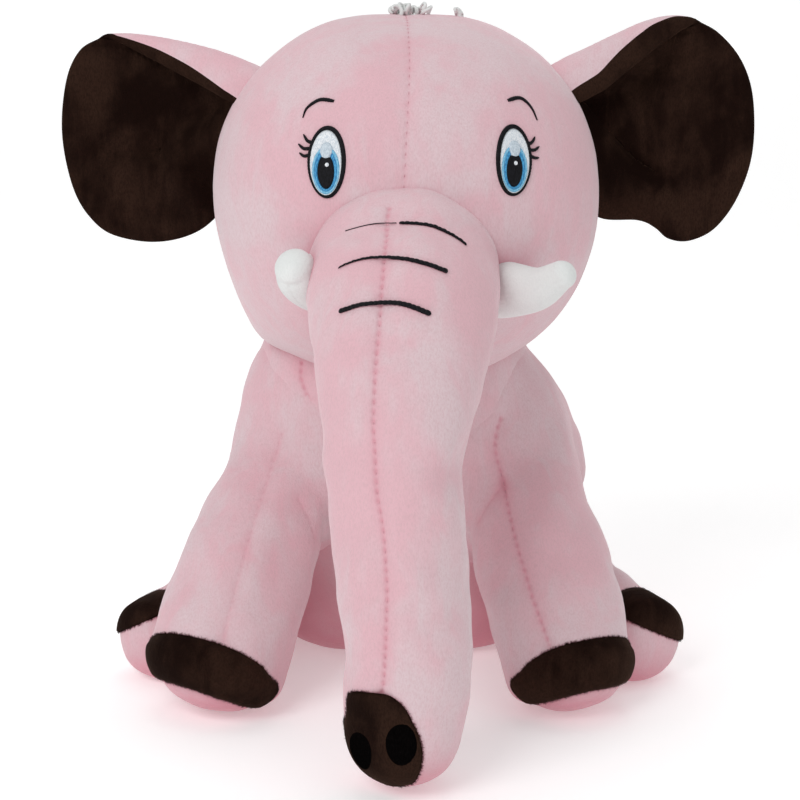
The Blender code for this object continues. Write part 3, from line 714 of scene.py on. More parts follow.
def domed_patch(rings, field, dome, lift, depth, squareness=6):
    """(points, faces) of a closed patch that domes over a surface, from the rings of its top."""
    count = len(rings[-1])
    shares = np.linspace(0, 1, len(rings))[1:]
    rise = dome * np.sqrt(1 - shares**squareness)
    upper = laid(field, np.concatenate(rings), lift + np.concatenate([[dome], np.repeat(rise, count)]))
    lower = laid(field, np.concatenate([rings[-1], rings[0]]), lift - depth)
    faces = fan_faces(count, len(rings) - 1)
    base, last = len(upper), len(upper) - count
    for j in range(count):
        k = (j + 1) % count
        faces += [(last + j, base + j, base + k, last + k), (base + count, base + k, base + j)]
    return np.concatenate([upper, lower]), faces


THREAD_DEPTH = 0.0006


def ring_patch(inner, outer, rows_across, field, lift, dome, ribs):
    """(points, faces) of a satin-stitched ring between two edges, with a rib for each thread."""
    count = len(outer)
    shares = np.linspace(0, 1, rows_across)
    rise = dome * np.sqrt(np.clip(1 - (2 * shares - 1) ** 4, 0, 1))
    rib = 1 + ribs * np.cos(np.arange(count) * math.pi)
    upper = [laid(field, inner + (outer - inner) * s, lift + r * rib) for s, r in zip(shares, rise)]
    lower = [laid(field, edge, lift - THREAD_DEPTH) for edge in (outer, inner)]
    loops = upper + lower
    points = np.concatenate(loops)
    faces = []
    for i in range(len(loops)):
        a, b = i * count, (i + 1) % len(loops) * count
        for j in range(count):
            k = (j + 1) % count
            faces.append((a + j, b + j, b + k, a + k))
    return points, faces


# Each eye's half width and half height, its place on the head in degrees, and its tilt; then the brow, from
# the eye's middle, and the lashes, as shares of the eye's half sizes
EYE_HALF = (0.0093, 0.0170)
EYE_TURNS = {"left": 33.0, "right": -23.9}
EYE_HEIGHT = 15.6
EYE_TILT = {"left": 0.15, "right": 0.08}
BROW = {"left": ((0.0035, 0.0300), (0.0098, 0.0318), (0.0136, 0.0304), (0.0166, 0.0252), (0.0178, 0.0191)),
        "right": ((0.0008, 0.0306), (0.0077, 0.0320), (0.0115, 0.0299), (0.0141, 0.0260), (0.0149, 0.0213))}
LASHES = {"left": (((0.86, 0.40), (1.20, 0.46), (1.47, 0.62)), ((0.88, 0.24), (1.28, 0.24), (1.62, 0.34)),
                   ((0.86, 0.10), (1.20, 0.02), (1.48, 0.02))),
          "right": (((0.84, 0.50), (1.13, 0.56), (1.40, 0.74)), ((0.86, 0.34), (1.28, 0.34), (1.62, 0.47)),
                    ((0.84, 0.18), (1.20, 0.13), (1.50, 0.22)))}


def make_eye(side, sign, field, m):
    middle = head_at(EYE_TURNS[side], EYE_HEIGHT, field)[0]
    across, up = level_axes(unit(slope(field, middle[None]))[0])
    lean, sway = math.cos(EYE_TILT[side]), sign * math.sin(EYE_TILT[side])

    def at(x, y):
        return middle + np.asarray(x)[..., None] * across + np.asarray(y)[..., None] * up

    def tilted(x, y):
        return at(x * lean + y * sway, y * lean - x * sway)

    def oval(half, centre, count=132):
        angle = np.arange(count) * math.tau / count
        return tilted(centre[0] + half[0] * np.cos(angle), centre[1] + half[1] * np.sin(angle))

    def grown(half, by):
        return half[0] + by, half[1] + by

    def spot(half, centre, count, rings, dome, lift, depth=THREAD_DEPTH):
        flat = rings_of(oval(half, centre, count), tilted(*centre), rings)
        return domed_patch(flat, field, dome, lift, depth)

    def add(name, shape, material, *nodes):
        made = mesh_object(f"eye_{side}_{name}_stitched", *shape, [m[material]])
        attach(made, "head")
        if nodes:
            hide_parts(*nodes)

    a, b = EYE_HALF
    line_in, line_at = (a - 0.0018, b - 0.0019), (sign * 0.0004, -0.0003)
    iris, iris_at = (0.72 * a, 0.64 * b), (sign * 0.0003, -0.25 * b)
    pupil, pupil_at = (0.45 * a, 0.47 * b), (sign * 0.0003, -0.28 * b)
    rim = (iris[0] * 0.80, iris[1] * 0.86)

    outline = ring_patch(oval(line_in, line_at), oval((a, b), (0, 0)), 7, field, 0.0001, 0.0009, 0.16)
    lashes = []
    for points in LASHES[side]:
        curve = catmull([(sign * x * a, y * b) for x, y in points], 14)
        line = laid(field, at(curve[:, 0], curve[:, 1]), 0.0003)
        thick = np.interp(np.linspace(0, 1, 14), [0, 0.25, 0.8, 1], [0.00085, 0.00085, 0.00062, 0.00025])
        lashes.append(tube(line, thick, 8, 0.8, slope(field, line)))
    add("outline", joined([outline, *lashes]), "black", f"eye_{side}_outline")

    white_in, white_out = oval(grown(iris, -0.0002), iris_at), oval(grown(line_in, 0.0002), line_at)
    white = ring_patch(white_in, white_out, 9, field, 0.00005, 0.0005, 0.14)
    add("white", white, "white_thread", f"eye_{side}_white")
    iris_rim = ring_patch(oval(rim, iris_at), oval(iris, iris_at), 5, field, 0.0002, 0.0006, 0.14)
    add("iris_rim", iris_rim, "light_blue")
    iris_in, iris_out = oval(grown(pupil, -0.0002), pupil_at), oval(grown(rim, 0.0003), iris_at)
    add("iris", ring_patch(iris_in, iris_out, 6, field, 0.0002, 0.00055, 0.14), "blue", f"eye_{side}_iris")
    add("pupil", spot(pupil, pupil_at, 64, 8, 0.0007, 0.0002), "black", f"eye_{side}_pupil")
    highlight = spot((0.33 * a, 0.23 * b), (0.0, 0.29 * b), 40, 6, 0.0008, 0.0005, 0.0008)
    add("highlight", highlight, "grey_thread")
    glint = spot((0.11 * a, 0.06 * b), (0.05 * a, -0.10 * b), 20, 3, 0.0005, 0.0008)
    add("glint", glint, "white_thread", f"eye_{side}_glint")

    curve = catmull([(sign * x, y) for x, y in BROW[side]], 40)
    line = laid(field, at(curve[:, 0], curve[:, 1]), 0.0002)
    thick = np.interp(np.linspace(0, 1, 40), [0, 0.1, 0.5, 1], [0.00070, 0.00100, 0.00085, 0.00035])
    thick = thick * (1 + 0.10 * np.cos(np.arange(40) * math.pi))
    add("brow", tube(line, thick, 8, 0.7, slope(field, line)), "black", f"eye_{side}_brow")


def make_trunk(m):
    limb = Limb(*zip(*TRUNK_STATIONS), TRUNK_ENDS, ACROSS)
    plain = lumpy(limb.field, 0.0005, 21)
    runs = np.linspace(0.0, 0.93, 90)
    angle = catmull([-0.16, -0.20, -0.27, -0.35, -0.33, -0.28, -0.27, -0.34, -0.50], 90)
    front = laid(plain, limb.at(runs, angle))
    back = laid(plain, limb.at(np.linspace(0.12, 1.0, 70), math.pi))
    low, high = limb.line.min(0) - 0.045, limb.line.max(0) + 0.045
    field = stuffed(plain, low, high, [front, back])
    front, back = onto(field, front), onto(field, back)
    seams = [Seam(front, pitch=0.0043), Seam(back, pitch=0.0043)]
    trunk = sewn_skin("trunk_plush", field, (low, high), TRUNK_NET, seams, m["pink"])
    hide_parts("trunk_upper_skin", "trunk_upper_stuffing", "trunk_lower_skin", "trunk_lower_stuffing")
    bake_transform(trunk)
    stitches = thread_stitches("trunk_seam_stitches", field, front[8:], m["pink_thread"], 0.0043)
    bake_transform(stitches)
    make_wrinkles(limb, field, m)
    make_nose(limb, field, m)


# Each wrinkle's runs along the trunk, angles round it and thicknesses
WRINKLES = (
    ((0.062, 0.076, 0.090), (-0.05, 0.32, 0.68), (0.0008, 0.0010, 0.0006)),
    ((0.128, 0.126, 0.136, 0.147), (-0.74, -0.40, 0.0, 0.45), (0.0004, 0.0007, 0.0011, 0.0012)),
    ((0.192, 0.192, 0.194, 0.207), (-0.77, -0.40, -0.05, 0.31), (0.0012, 0.0010, 0.0012, 0.0013)),
)
FADED_WRINKLE = ((0.050, 0.057, 0.061), (-0.66, -0.35, -0.08))


def stitched_line(line, radii, field):
    """(points, faces) of a row of short overlapping stitches along a line."""
    passed = passed_along(line)
    shapes = []
    length, gap = 0.0034, 0.0021
    for number, start in enumerate(np.arange(0, passed[-1] - length * 0.6, gap)):
        spine = point_along(line, passed, start + np.linspace(0, 1, 6) * length)
        radius = np.interp(start / passed[-1], np.linspace(0, 1, len(radii)), radii)
        arch = np.sin(np.linspace(0, 1, 6) * math.pi)
        spine = laid(field, spine, 0.0001 + 0.0004 * arch + 0.00015 * (number % 2))
        shapes.append(tube(spine, radius * (0.45 + 0.55 * arch**0.5), 8, 0.75, slope(field, spine)))
    return joined(shapes)


def make_wrinkles(limb, field, m):
    for number, (runs, angles, radii) in enumerate(WRINKLES, 1):
        line = laid(field, limb.at(catmull(runs, 50), catmull(angles, 50)))
        shape = stitched_line(line, radii, field)
        if number == 1:
            faded = laid(field, limb.at(catmull(FADED_WRINKLE[0], 40), catmull(FADED_WRINKLE[1], 40)))
            shape = joined([shape, tube(laid(field, faded, 0.0001), 0.00028, 6, 0.7, slope(field, faded))])
        wrinkle = mesh_object(f"trunk_wrinkle_{number}_stitched", *shape, [m["black"]])
        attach(wrinkle, "trunk_upper")
        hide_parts(f"trunk_wrinkle_{number}")


# The way the patch faces at the trunk's tip, and the patch's outline and nostrils as distances over the plush
NOSE_WAY = (-28.0, -2.0)
NOSE_RADIUS = 0.0262
NOSE_OUTLINE = (
    (0.0005, 0.0264), (0.0080, 0.0260), (0.0135, 0.0215), (0.0170, 0.0140), (0.0202, 0.0050),
    (0.0208, -0.0040), (0.0182, -0.0135), (0.0125, -0.0225), (0.0010, -0.0270), (-0.0110, -0.0250),
    (-0.0205, -0.0170), (-0.0242, -0.0070), (-0.0232, 0.0040), (-0.0185, 0.0098), (-0.0168, 0.0140),
    (-0.0158, 0.0200), (-0.0095, 0.0250),
)
# Each nostril's middle, half width and half height, and its tilt
NOSTRILS = {
    "right": ((-0.0092, -0.0042), (0.0076, 0.0114), 0.22),
    "left": ((0.0114, 0.0030), (0.0072, 0.0110), 0.05),
}


def wrapped(centre, way, radius, x, y):
    """Points at distances x across and y up from where way meets a tube with a round end."""
    across, up = level_axes(way)
    x, below, above = x[:, None], np.minimum(y, 0)[:, None], np.maximum(y, 0)[:, None]
    reach = np.hypot(x, below)
    turn = reach / radius
    flat = (x * across + below * up) / np.maximum(reach, 1e-9)
    return centre + radius * (np.cos(turn) * way + np.sin(turn) * flat) + above * up


def closed_curve(points, count, steps=40):
    """A smooth closed curve of count points through those given."""
    made = catmull(points[-1:] + points + points[:2], (len(points) + 2) * steps)
    made = made[steps:-steps]
    return made[np.linspace(0, len(made) - 1, count, endpoint=False).astype(int)]


def make_nose(limb, field, m):
    way = way_of(*NOSE_WAY)

    def on_tip(outline):
        return wrapped(limb.line[-1], way, NOSE_RADIUS, outline[:, 0], outline[:, 1])

    def patch(outline, count, dome, lift):
        rings = [on_tip(ring) for ring in rings_of(outline, outline.mean(0), count)]
        return domed_patch(rings, field, dome, lift, 0.0008, 8)

    outline = closed_curve(NOSE_OUTLINE, 120)
    nose = mesh_object("nose_patch_plush", *patch(outline, 16, 0.0010, 0.0004), [m["brown"]])
    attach(nose, "trunk_lower")
    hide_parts("nose_patch")
    border = laid(field, on_tip(outline), 0.0006)
    fuzz = fringe("nose_patch_fibres", field, border, border.mean(0), m["brown"], 23)
    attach(fuzz, "trunk_lower")
    for side, (centre, half, tilt) in NOSTRILS.items():
        angle = np.arange(56) * math.tau / 56
        x, y = half[0] * np.cos(angle), half[1] * np.sin(angle)
        lean, sway = math.cos(tilt), math.sin(tilt)
        turned = np.stack([centre[0] + x * lean + y * sway, centre[1] - x * sway + y * lean], 1)
        nostril = mesh_object(f"nostril_{side}_stitched", *patch(turned, 8, 0.0003, 0.0012), [m["nostril"]])
        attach(nostril, "trunk_lower")
        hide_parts(f"nostril_{side}")


TUSKS = {
    "left": ((0.0380, -0.0640, 0.2160), (0.0500, -0.0780, 0.2170), (0.0605, -0.0880, 0.2195),
             (0.0700, -0.0950, 0.2265)),
    "right": ((-0.0350, -0.0640, 0.2170), (-0.0420, -0.0790, 0.2205), (-0.0475, -0.0910, 0.2250),
              (-0.0505, -0.0975, 0.2305)),
}
TUSK_RADII = {"left": (0.0150, 0.0128, 0.0100, 0.0070), "right": (0.0145, 0.0132, 0.0112, 0.0088)}
TUSK_ENDS = (0.0120, 0.0070)


def make_tusks(m):
    for side, points in TUSKS.items():
        limb = Limb(points, TUSK_RADII[side], TUSK_RADII[side], TUSK_ENDS, UP)
        low, high = limb.line.min(0) - 0.018, limb.line.max(0) + 0.018
        field = lumpy(limb.field, 0.00015, 41)
        seam = Seam(laid(field, limb.at(np.linspace(0.1, 0.95, 30), -math.pi / 2)), 0.0003, 0.0004)
        tusk = sewn_skin(f"tusk_{side}_plush", field, (low, high), TUSK_NET, [seam], m["white"])
        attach(tusk, "head")
        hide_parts(f"tusk_{side}_skin", f"tusk_{side}_stuffing")


def leg_limb(ends, radii, depths, side_axis, depth=1.0):
    pivot, foot = (np.array(end) for end in ends)
    shares = np.linspace(0, 1, len(radii))[:, None]
    radii = np.array(radii)
    return Limb(pivot + shares * (foot - pivot), radii, radii * depth, depths, side_axis)


CHEST_SEAMS = (
    ((0.0375, -0.0300, 0.1760), (0.0400, -0.0360, 0.1580), (0.0405, -0.0430, 0.1360)),
    ((-0.0560, -0.0240, 0.1740), (-0.0590, -0.0300, 0.1580), (-0.0610, -0.0360, 0.1400)),
)


def make_torso(m):
    plain = lumpy(torso_field, 0.0007, 51)
    low, high = np.array([-0.100, -0.045, 0.0]), np.array([0.100, 0.165, 0.200])
    heights = np.linspace(0.012, 0.18, 60)
    back, belly = (laid(plain, np.array([(0.0, y, z) for z in heights])) for y in (0.16, -0.03))
    field = stuffed(plain, low, high, [back, belly])
    chest = [laid(plain, catmull(points, 40)) for points in CHEST_SEAMS]
    seams = [Seam(onto(field, line)) for line in (back, belly, *chest)]
    torso = sewn_skin("torso_plush", field, (low, high), TORSO_NET, seams, m["pink"])
    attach(torso, "torso")
    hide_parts("torso_skin", "torso_stuffing", "neck_stuffing")
    return field


def on_limb(plain, filled, limb):
    """The filled field beside the limb itself, and the plain one out on its skirt."""

    def field(points):
        share = np.clip((0.010 - limb.field(points)) / 0.008, 0, 1)
        return plain(points) * (1 - share) + filled(points) * share

    return field


SKIRT_SUNK = 0.0010


def skirted(limb, torso, reach, merge):
    """A limb's field with a skirt that runs out over the torso and dives under its surface."""

    def field(points):
        own = limb.field(points)
        body = torso(points) + SKIRT_SUNK
        merged = smooth_max(smooth_min(own, body, merge), own - reach, 0.004)
        return smooth_max(merged, -points[:, 2], 0.010)

    return field


# How far along each front foot, past its line's end, the sole's seam goes round
FRONT_SOLE = 1.52
# Each front leg's two seams, as runs along the leg and angles round it
LEG_SEAMS = {
    "left": (((0.02, 0.30, 0.60, 0.93), (-0.42, -0.42, -0.39, -0.33)),
             ((0.27, 0.32, 0.38), (-0.45, -0.75, -1.10))),
    "right": (((0.10, 0.40, 0.70, 0.93), (-0.10, -0.04, 0.02, 0.08)),
              ((0.32, 0.37, 0.43), (0.60, 0.85, 1.15))),
}
# How deep each of those dips, then the seam behind and the one round the sole: in the seam, and beside it
LEG_SEAM_DEPTHS = {
    "left": ((0.0009, 0.0008), (0.0004, 0.0008), (0.0009, 0.0008), (0.0009, 0.0008)),
    "right": ((0.0004, 0.0007), (0.0003, 0.0008), (0.0009, 0.0008), (0.0009, 0.0008)),
}


def make_front_leg(side, sign, torso, m):
    limb = leg_limb(FRONT_LEGS[side], FRONT_LEG_RADII[side], FRONT_LEG_ENDS, ACROSS, FRONT_LEG_DEPTH)
    plain = lumpy(skirted(limb, torso, 0.016, 0.024), 0.0004, 61 + int(sign))
    lines = [laid(plain, limb.at(catmull(runs, 60), catmull(angles, 60))) for runs, angles in LEG_SEAMS[side]]
    lines.append(laid(plain, limb.at(np.linspace(0.10, 0.95, 60), math.pi)))
    lines.append(laid(plain, limb.at(np.full(90, FRONT_SOLE), np.linspace(0, math.tau, 90))))
    low, high = limb.line.min(0) - 0.06, limb.line.max(0) + 0.06
    low[2] = -0.004
    field = on_limb(plain, stuffed(plain, low, high, lines), limb)
    seams = [Seam(onto(field, line), *LEG_SEAM_DEPTHS[side][k]) for k, line in enumerate(lines)]
    leg = sewn_skin(f"front_leg_{side}_plush", field, (low, high), LEG_NET, seams, m["pink"])
    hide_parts(f"front_leg_{side}_skin", f"front_leg_{side}_stuffing", f"front_leg_{side}_sole")
    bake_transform(leg)
    inward = np.linspace(-1.60, 1.42, 72)
    bottom = FRONT_SOLE - 0.02 - 0.10 * np.clip(np.abs(inward) - 0.9, 0, None)
    top = 0.945 + 0.10 * np.clip(inward / 1.4, 0, None) ** 2 + 0.04 * np.clip(-inward / 1.4, 0, None) ** 2
    make_toe_panel(f"front_leg_{side}", field, limb, -sign * inward, bottom, top, m)
    stitches = thread_stitches(
        f"front_leg_{side}_seam_stitches", field, seams[0].line, m["pink_thread"], 0.0044)
    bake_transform(stitches)


TOE_PANEL_ROWS = 18
TOE_PANEL_SQUARENESS = 26


def make_toe_panel(name, field, limb, angles, bottom, top, m):
    """A brown panel between two edges, given as runs along the limb for each angle round it."""
    columns, steps = len(angles), TOE_PANEL_ROWS
    x = np.linspace(-1, 1, columns)
    narrow = np.sqrt(1 - np.abs(x) ** TOE_PANEL_SQUARENESS)
    middle, half = (bottom + top) / 2, (top - bottom) / 2 * narrow
    run = middle[:, None] + half[:, None] * np.linspace(-1, 1, steps)[None]
    base = limb.at(run.ravel(), np.repeat(angles, steps))
    across = np.minimum(1 - np.abs(x), 0.06) / 0.06
    along = np.minimum(np.linspace(0, 1, steps), np.linspace(1, 0, steps)) / 0.12
    profile = np.sqrt(np.clip(across, 0, 1))[:, None] * np.sqrt(np.clip(along, 0, 1))[None]
    upper = laid(field, base, 0.0003 + 0.0010 * profile.ravel())
    lower = laid(field, base, -0.0008)
    count = columns * steps
    faces = []
    for i in range(columns - 1):
        for j in range(steps - 1):
            a, b, c, d = i * steps + j, (i + 1) * steps + j, (i + 1) * steps + j + 1, i * steps + j + 1
            faces += [(a, b, c, d), (count + d, count + c, count + b, count + a)]
    rim = ([i * steps for i in range(columns)] + [(columns - 1) * steps + j for j in range(1, steps)]
           + [i * steps + steps - 1 for i in range(columns - 2, -1, -1)] + list(range(steps - 2, 0, -1)))
    for a, b in zip(rim, rim[1:] + rim[:1]):
        faces.append((b, a, count + a, count + b))
    panel = mesh_object(f"{name}_toe_panel_plush", np.concatenate([upper, lower]), faces, [m["brown"]])
    face_out(panel)
    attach(panel, name)
    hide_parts(f"{name}_toe_panel")
    fuzz = fringe(f"{name}_toe_panel_fibres", field, upper[rim], upper.mean(0), m["brown"], 17)
    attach(fuzz, name)


FIBRES_PER_METRE = 7000.0
FIBRE_LENGTH = 0.0016
FIBRE_RADIUS = 0.00013


def fringe(name, field, border, middle, material, seed):
    """Fibres of the pile that lie over a panel's border."""
    rng = np.random.default_rng(seed)
    border = np.vstack([border, border[:1]])
    passed = passed_along(border)
    count = int(passed[-1] * FIBRES_PER_METRE)
    places = np.sort(rng.uniform(0, passed[-1], count))
    roots = point_along(border, passed, places)
    tangent = unit(point_along(border, passed, places + 0.0004) - roots + 1e-9)
    out = unit(slope(field, roots))
    away = np.cross(tangent, out)
    away *= np.sign(((roots - middle) * away).sum(1).mean())
    lean = rng.uniform(0.2, 1.0, (count, 1)) * away + rng.uniform(0.1, 0.7, (count, 1)) * out
    lean = unit(lean + rng.normal(0, 0.35, (count, 1)) * tangent)
    lean *= FIBRE_LENGTH * rng.uniform(0.5, 1.2, (count, 1))
    roots = roots - away * rng.uniform(0.0, 0.0008, (count, 1)) - out * 0.0002
    shapes = []
    for root, way, up in zip(roots, lean, out):
        t = np.linspace(0, 1, 4)[:, None]
        shapes.append(tube(root + way * t - up * 0.0004 * t**2, FIBRE_RADIUS * (1 - 0.8 * t[:, 0]), 3))
    return mesh_object(name, *joined(shapes), [material])


def face_out(obj):
    form = bmesh.new()
    form.from_mesh(obj.data)
    bmesh.ops.recalc_face_normals(form, faces=form.faces)
    form.to_mesh(obj.data)
    form.free()


# The same for the hind feet
HIND_SOLE = 1.20
# The lower edge of each hind toe panel, as a line across the round foot: its height, and its fall outward
HIND_TOE_CHORD = {"left": (0.48, 0.50), "right": (0.68, 0.52)}


def make_hind_leg(side, sign, torso, m):
    limb = leg_limb(HIND_LEGS[side], HIND_LEG_RADII[side], HIND_LEG_ENDS, UP)
    plain = lumpy(skirted(limb, torso, 0.010, 0.014), 0.0004, 71 + int(sign))
    sole = laid(plain, limb.at(np.full(80, HIND_SOLE), np.linspace(0, math.tau, 80)))
    outer = laid(plain, limb.at(np.linspace(0.2, 0.95, 40), math.pi / 2 - sign * 0.6))
    low, high = limb.line.min(0) - 0.048, limb.line.max(0) + 0.048
    low[2] = -0.004
    field = on_limb(plain, stuffed(plain, low, high, [sole, outer]), limb)
    sole, outer = onto(field, sole), onto(field, outer)
    seams = [Seam(sole), Seam(outer)]
    leg = sewn_skin(f"hind_leg_{side}_plush", field, (low, high), LEG_NET, seams, m["pink"])
    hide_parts(f"hind_leg_{side}_skin", f"hind_leg_{side}_stuffing", f"hind_leg_{side}_sole")
    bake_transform(leg)
    height, fall = HIND_TOE_CHORD[side]
    outward = np.linspace(-0.90, 1.60, 64)
    chord = height / (np.cos(outward) + fall * np.sin(outward))
    bottom = 1 + np.arccos(np.clip(chord, 0, 1)) * 2 / math.pi
    top = np.minimum(0.87 + 0.06 * outward**2, bottom - 0.02)
    make_toe_panel(f"hind_leg_{side}", field, limb, math.pi / 2 + sign * outward, bottom, top, m)


# The middle of the ear's outline, out and up, and how far back the ear is
EAR_MIDDLE = np.array([0.1300, 0.2800])
EAR_Y = 0.018
EAR_FOLD_TURN = 2.45
EAR_RINGS = 34
EAR_WRAP_RINGS = 12
EAR_THICKNESS = 0.0042
EAR_PROBE = 0.0002
# Where each ear's top folds forward: out, up, the fold's radius, how far the flap hangs past it, and how far
# the brown panel turns up over the flap
EAR_FOLD = {
    "right": ((0.0560, 0.2925, 0.0050, 0.0300, 0.0), (0.0718, 0.3045, 0.0050, 0.0310, 0.001),
              (0.0860, 0.3108, 0.0050, 0.0300, 0.003), (0.1030, 0.3165, 0.0045, 0.0250, 0.005),
              (0.1228, 0.3228, 0.0030, 0.0160, 0.004), (0.1400, 0.3276, 0.0012, 0.0060, 0.0015),
              (0.1520, 0.3284, 0.0006, 0.0000, 0.0)),
    "left": ((0.0600, 0.2970, 0.0060, 0.0310, 0.002), (0.0798, 0.3085, 0.0060, 0.0340, 0.007),
             (0.0923, 0.3140, 0.0060, 0.0330, 0.009), (0.1070, 0.3214, 0.0055, 0.0275, 0.010),
             (0.1220, 0.3292, 0.0045, 0.0205, 0.009), (0.1330, 0.3335, 0.0032, 0.0135, 0.006),
             (0.1440, 0.3356, 0.0010, 0.0020, 0.0)),
}
EAR_EDGE = {
    "right": ((0.1612, 0.3230), (0.1680, 0.3108), (0.1715, 0.2910), (0.1712, 0.2725), (0.1672, 0.2540),
              (0.1600, 0.2405), (0.1490, 0.2308), (0.1300, 0.2268), (0.1115, 0.2298), (0.0970, 0.2385),
              (0.0840, 0.2560), (0.0740, 0.2740), (0.0620, 0.2860)),
    "left": ((0.1550, 0.3312), (0.1652, 0.3200), (0.1716, 0.3055), (0.1742, 0.2880), (0.1737, 0.2710),
             (0.1700, 0.2562), (0.1634, 0.2425), (0.1543, 0.2322), (0.1428, 0.2274), (0.1330, 0.2286),
             (0.1262, 0.2340), (0.1180, 0.2376), (0.0973, 0.2395), (0.0840, 0.2560), (0.0740, 0.2740),
             (0.0620, 0.2860)),
}
EAR_RELIEF_GAIN = 1.7
# Ridges and hollows of each front panel: a height, a width, and a line of (out, up)
EAR_RELIEF = {
    "right": ((0.0026, 0.0060, ((0.0900, 0.2830), (0.1117, 0.2740), (0.1145, 0.2600), (0.1060, 0.2490))),
              (-0.0016, 0.0050, ((0.1534, 0.2743), (0.1398, 0.2692), (0.1248, 0.2713))),
              (-0.0024, 0.0090, ((0.0880, 0.2960), (0.1080, 0.2860), (0.1200, 0.2700))),
              (0.0014, 0.0050, ((0.1500, 0.3160), (0.1300, 0.3120), (0.1120, 0.3020)))),
    "left": ((-0.0026, 0.0060, ((0.0880, 0.2960), (0.1112, 0.2713), (0.1263, 0.2610))),
             (-0.0030, 0.0080, ((0.0900, 0.2980), (0.1120, 0.3050), (0.1300, 0.3180))),
             (0.0020, 0.0080, ((0.0900, 0.2620), (0.1050, 0.2560), (0.1250, 0.2480)))),
}


def fold_place(points, line, way):
    """For points in the ear's plane: how far along the fold they are, and how far above it."""
    along = place_on(points, line, way)
    past = points - read_at(line, along)
    ahead = read_at(way, along)
    return along, past[:, 1] * ahead[:, 0] - past[:, 0] * ahead[:, 1]


def ear_sheet(flat, side, sign, line, radii, way):
    """The middle of the ear for points in its plane: cupped, with soft ridges, and folded over at the top."""
    along, above = fold_place(flat, line, way)
    radius = read_at(radii, along)
    angle = np.clip(above / radius, 0, EAR_FOLD_TURN)
    past = np.clip(above - radius * EAR_FOLD_TURN, 0, None)
    in_plane = radius * np.sin(angle) + past * np.cos(angle)
    forward = radius * (1 - np.cos(angle)) + past * np.sin(angle)
    ahead = read_at(way, along)
    up_from_fold = np.stack([-ahead[:, 1], ahead[:, 0]], 1)
    placed = np.where((above > 0)[:, None], flat + up_from_fold * (in_plane - above)[:, None], flat)
    cup = 0.0080 * ((placed[:, 0] - 0.130) / 0.045) ** 2 + 0.0050 * ((placed[:, 1] - 0.285) / 0.05) ** 2
    relief = 0.0010 * lumps(np.column_stack([flat, np.zeros(len(flat))]), 0.026, 81 + int(sign))
    for height, width, points in EAR_RELIEF[side]:
        away = distance_along(flat, catmull(points, 30))[0]
        relief = relief + EAR_RELIEF_GAIN * height * np.exp(-((away / width) ** 2))
    relief = relief * np.clip(-above / 0.006, 0, 1)
    return np.stack([sign * placed[:, 0], EAR_Y + 0.004 - forward - cup - relief, placed[:, 1]], 1)


def make_ear(side, sign, m):
    fold = catmull(EAR_FOLD[side], 61)
    # The fold's line runs on past both ends, so that every point of the sheet lies beside it
    ends = fold[[0, -1]]
    ends[:, :2] += unit(fold[[0, -1], :2] - fold[[1, -2], :2]) * 0.030
    fold = np.vstack([ends[:1], fold, ends[1:]])
    line, radii, flaps, lips = fold[:, :2], fold[:, 2], fold[:, 3], fold[:, 4]
    way = unit(np.gradient(line, axis=0))
    hem = (line + np.stack([-way[:, 1], way[:, 0]], 1) * flaps[:, None])[1:-1:6]
    outline = closed_curve(tuple(map(tuple, hem)) + EAR_EDGE[side], 260)
    count = len(outline)
    along, above = fold_place(outline, line, way)
    lip = np.where(above > 0, read_at(lips, along), 0.0) + 0.0008
    # Where the two panels meet, as a share of the way out to the rim, round the back
    meet = 1 - lip / np.linalg.norm(outline - EAR_MIDDLE, axis=1)
    spread = np.sin(np.linspace(0, 1, EAR_RINGS + 1)[1:] * math.pi / 2) ** 0.9
    face = [np.full(count, share) for share in spread]
    wrap = [1 + (meet - 1) * share for share in np.linspace(0, 1, EAR_WRAP_RINGS + 1)[1:]]
    back = [meet * share for share in spread]
    front_ways = [1.0] * len(face) + [-1.0] * len(wrap)
    for name, material, shares, ways, nodes in (
        ("front", "brown", face + wrap, front_ways, [f"ear_{side}_front_panel"]),
        ("back", "pink", back, [-1.0] * len(back), [f"ear_{side}_back_panel", f"ear_{side}_padding"]),
    ):
        rings = [EAR_MIDDLE + (outline - EAR_MIDDLE) * share[:, None] for share in shares]
        flat = np.concatenate([EAR_MIDDLE[None], *rings])
        share = np.concatenate([[0.0], *shares])
        facing = np.concatenate([ways[:1], np.repeat(ways, count)])
        points, right, up = (ear_sheet(flat + np.array(shift), side, sign, line, radii, way)
                             for shift in ((0, 0), (EAR_PROBE, 0), (0, EAR_PROBE)))
        out = unit(np.cross(right - points, up - points)) * sign
        along, above = fold_place(flat, line, way)
        thick = EAR_THICKNESS * (1 - share**8) ** 0.5
        thick = np.minimum(thick, np.where(above > -0.004, 0.0012 + 0.55 * read_at(radii, along), 0.01))
        # The back dips to the line where the panels meet
        to_seam = np.concatenate([[1.0], np.abs(share[1:] - np.tile(meet, len(shares)))]) * 0.045
        thick = thick - np.where(facing < 0, 0.0006 * np.exp(-((to_seam / 0.0016) ** 2)), 0.0)
        outer = points + out * (facing * np.maximum(thick + 0.0006, 0.0004))[:, None]
        inner = points + out * (facing * np.maximum(thick - 0.0002, 0.0001))[:, None]
        shape = closed_sheet(outer, inner, count)
        panel = mesh_object(f"ear_{side}_{name}_plush", *shape, [m[material]])
        face_out(panel)
        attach(panel, f"ear_{side}")
        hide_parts(*nodes)


def closed_sheet(outer, inner, count):
    """(points, faces) of a thin closed panel between two surfaces of a middle and rings of count points."""
    base = len(outer)
    last = base - count
    faces = fan_faces(count, last // count + 1)
    made = faces + [tuple(base + k for k in face[::-1]) for face in faces]
    for j in range(count):
        k = (j + 1) % count
        made.append((last + k, last + j, base + last + j, base + last + k))
    return np.concatenate([outer, inner]), made


TUFT_LOCKS = 34


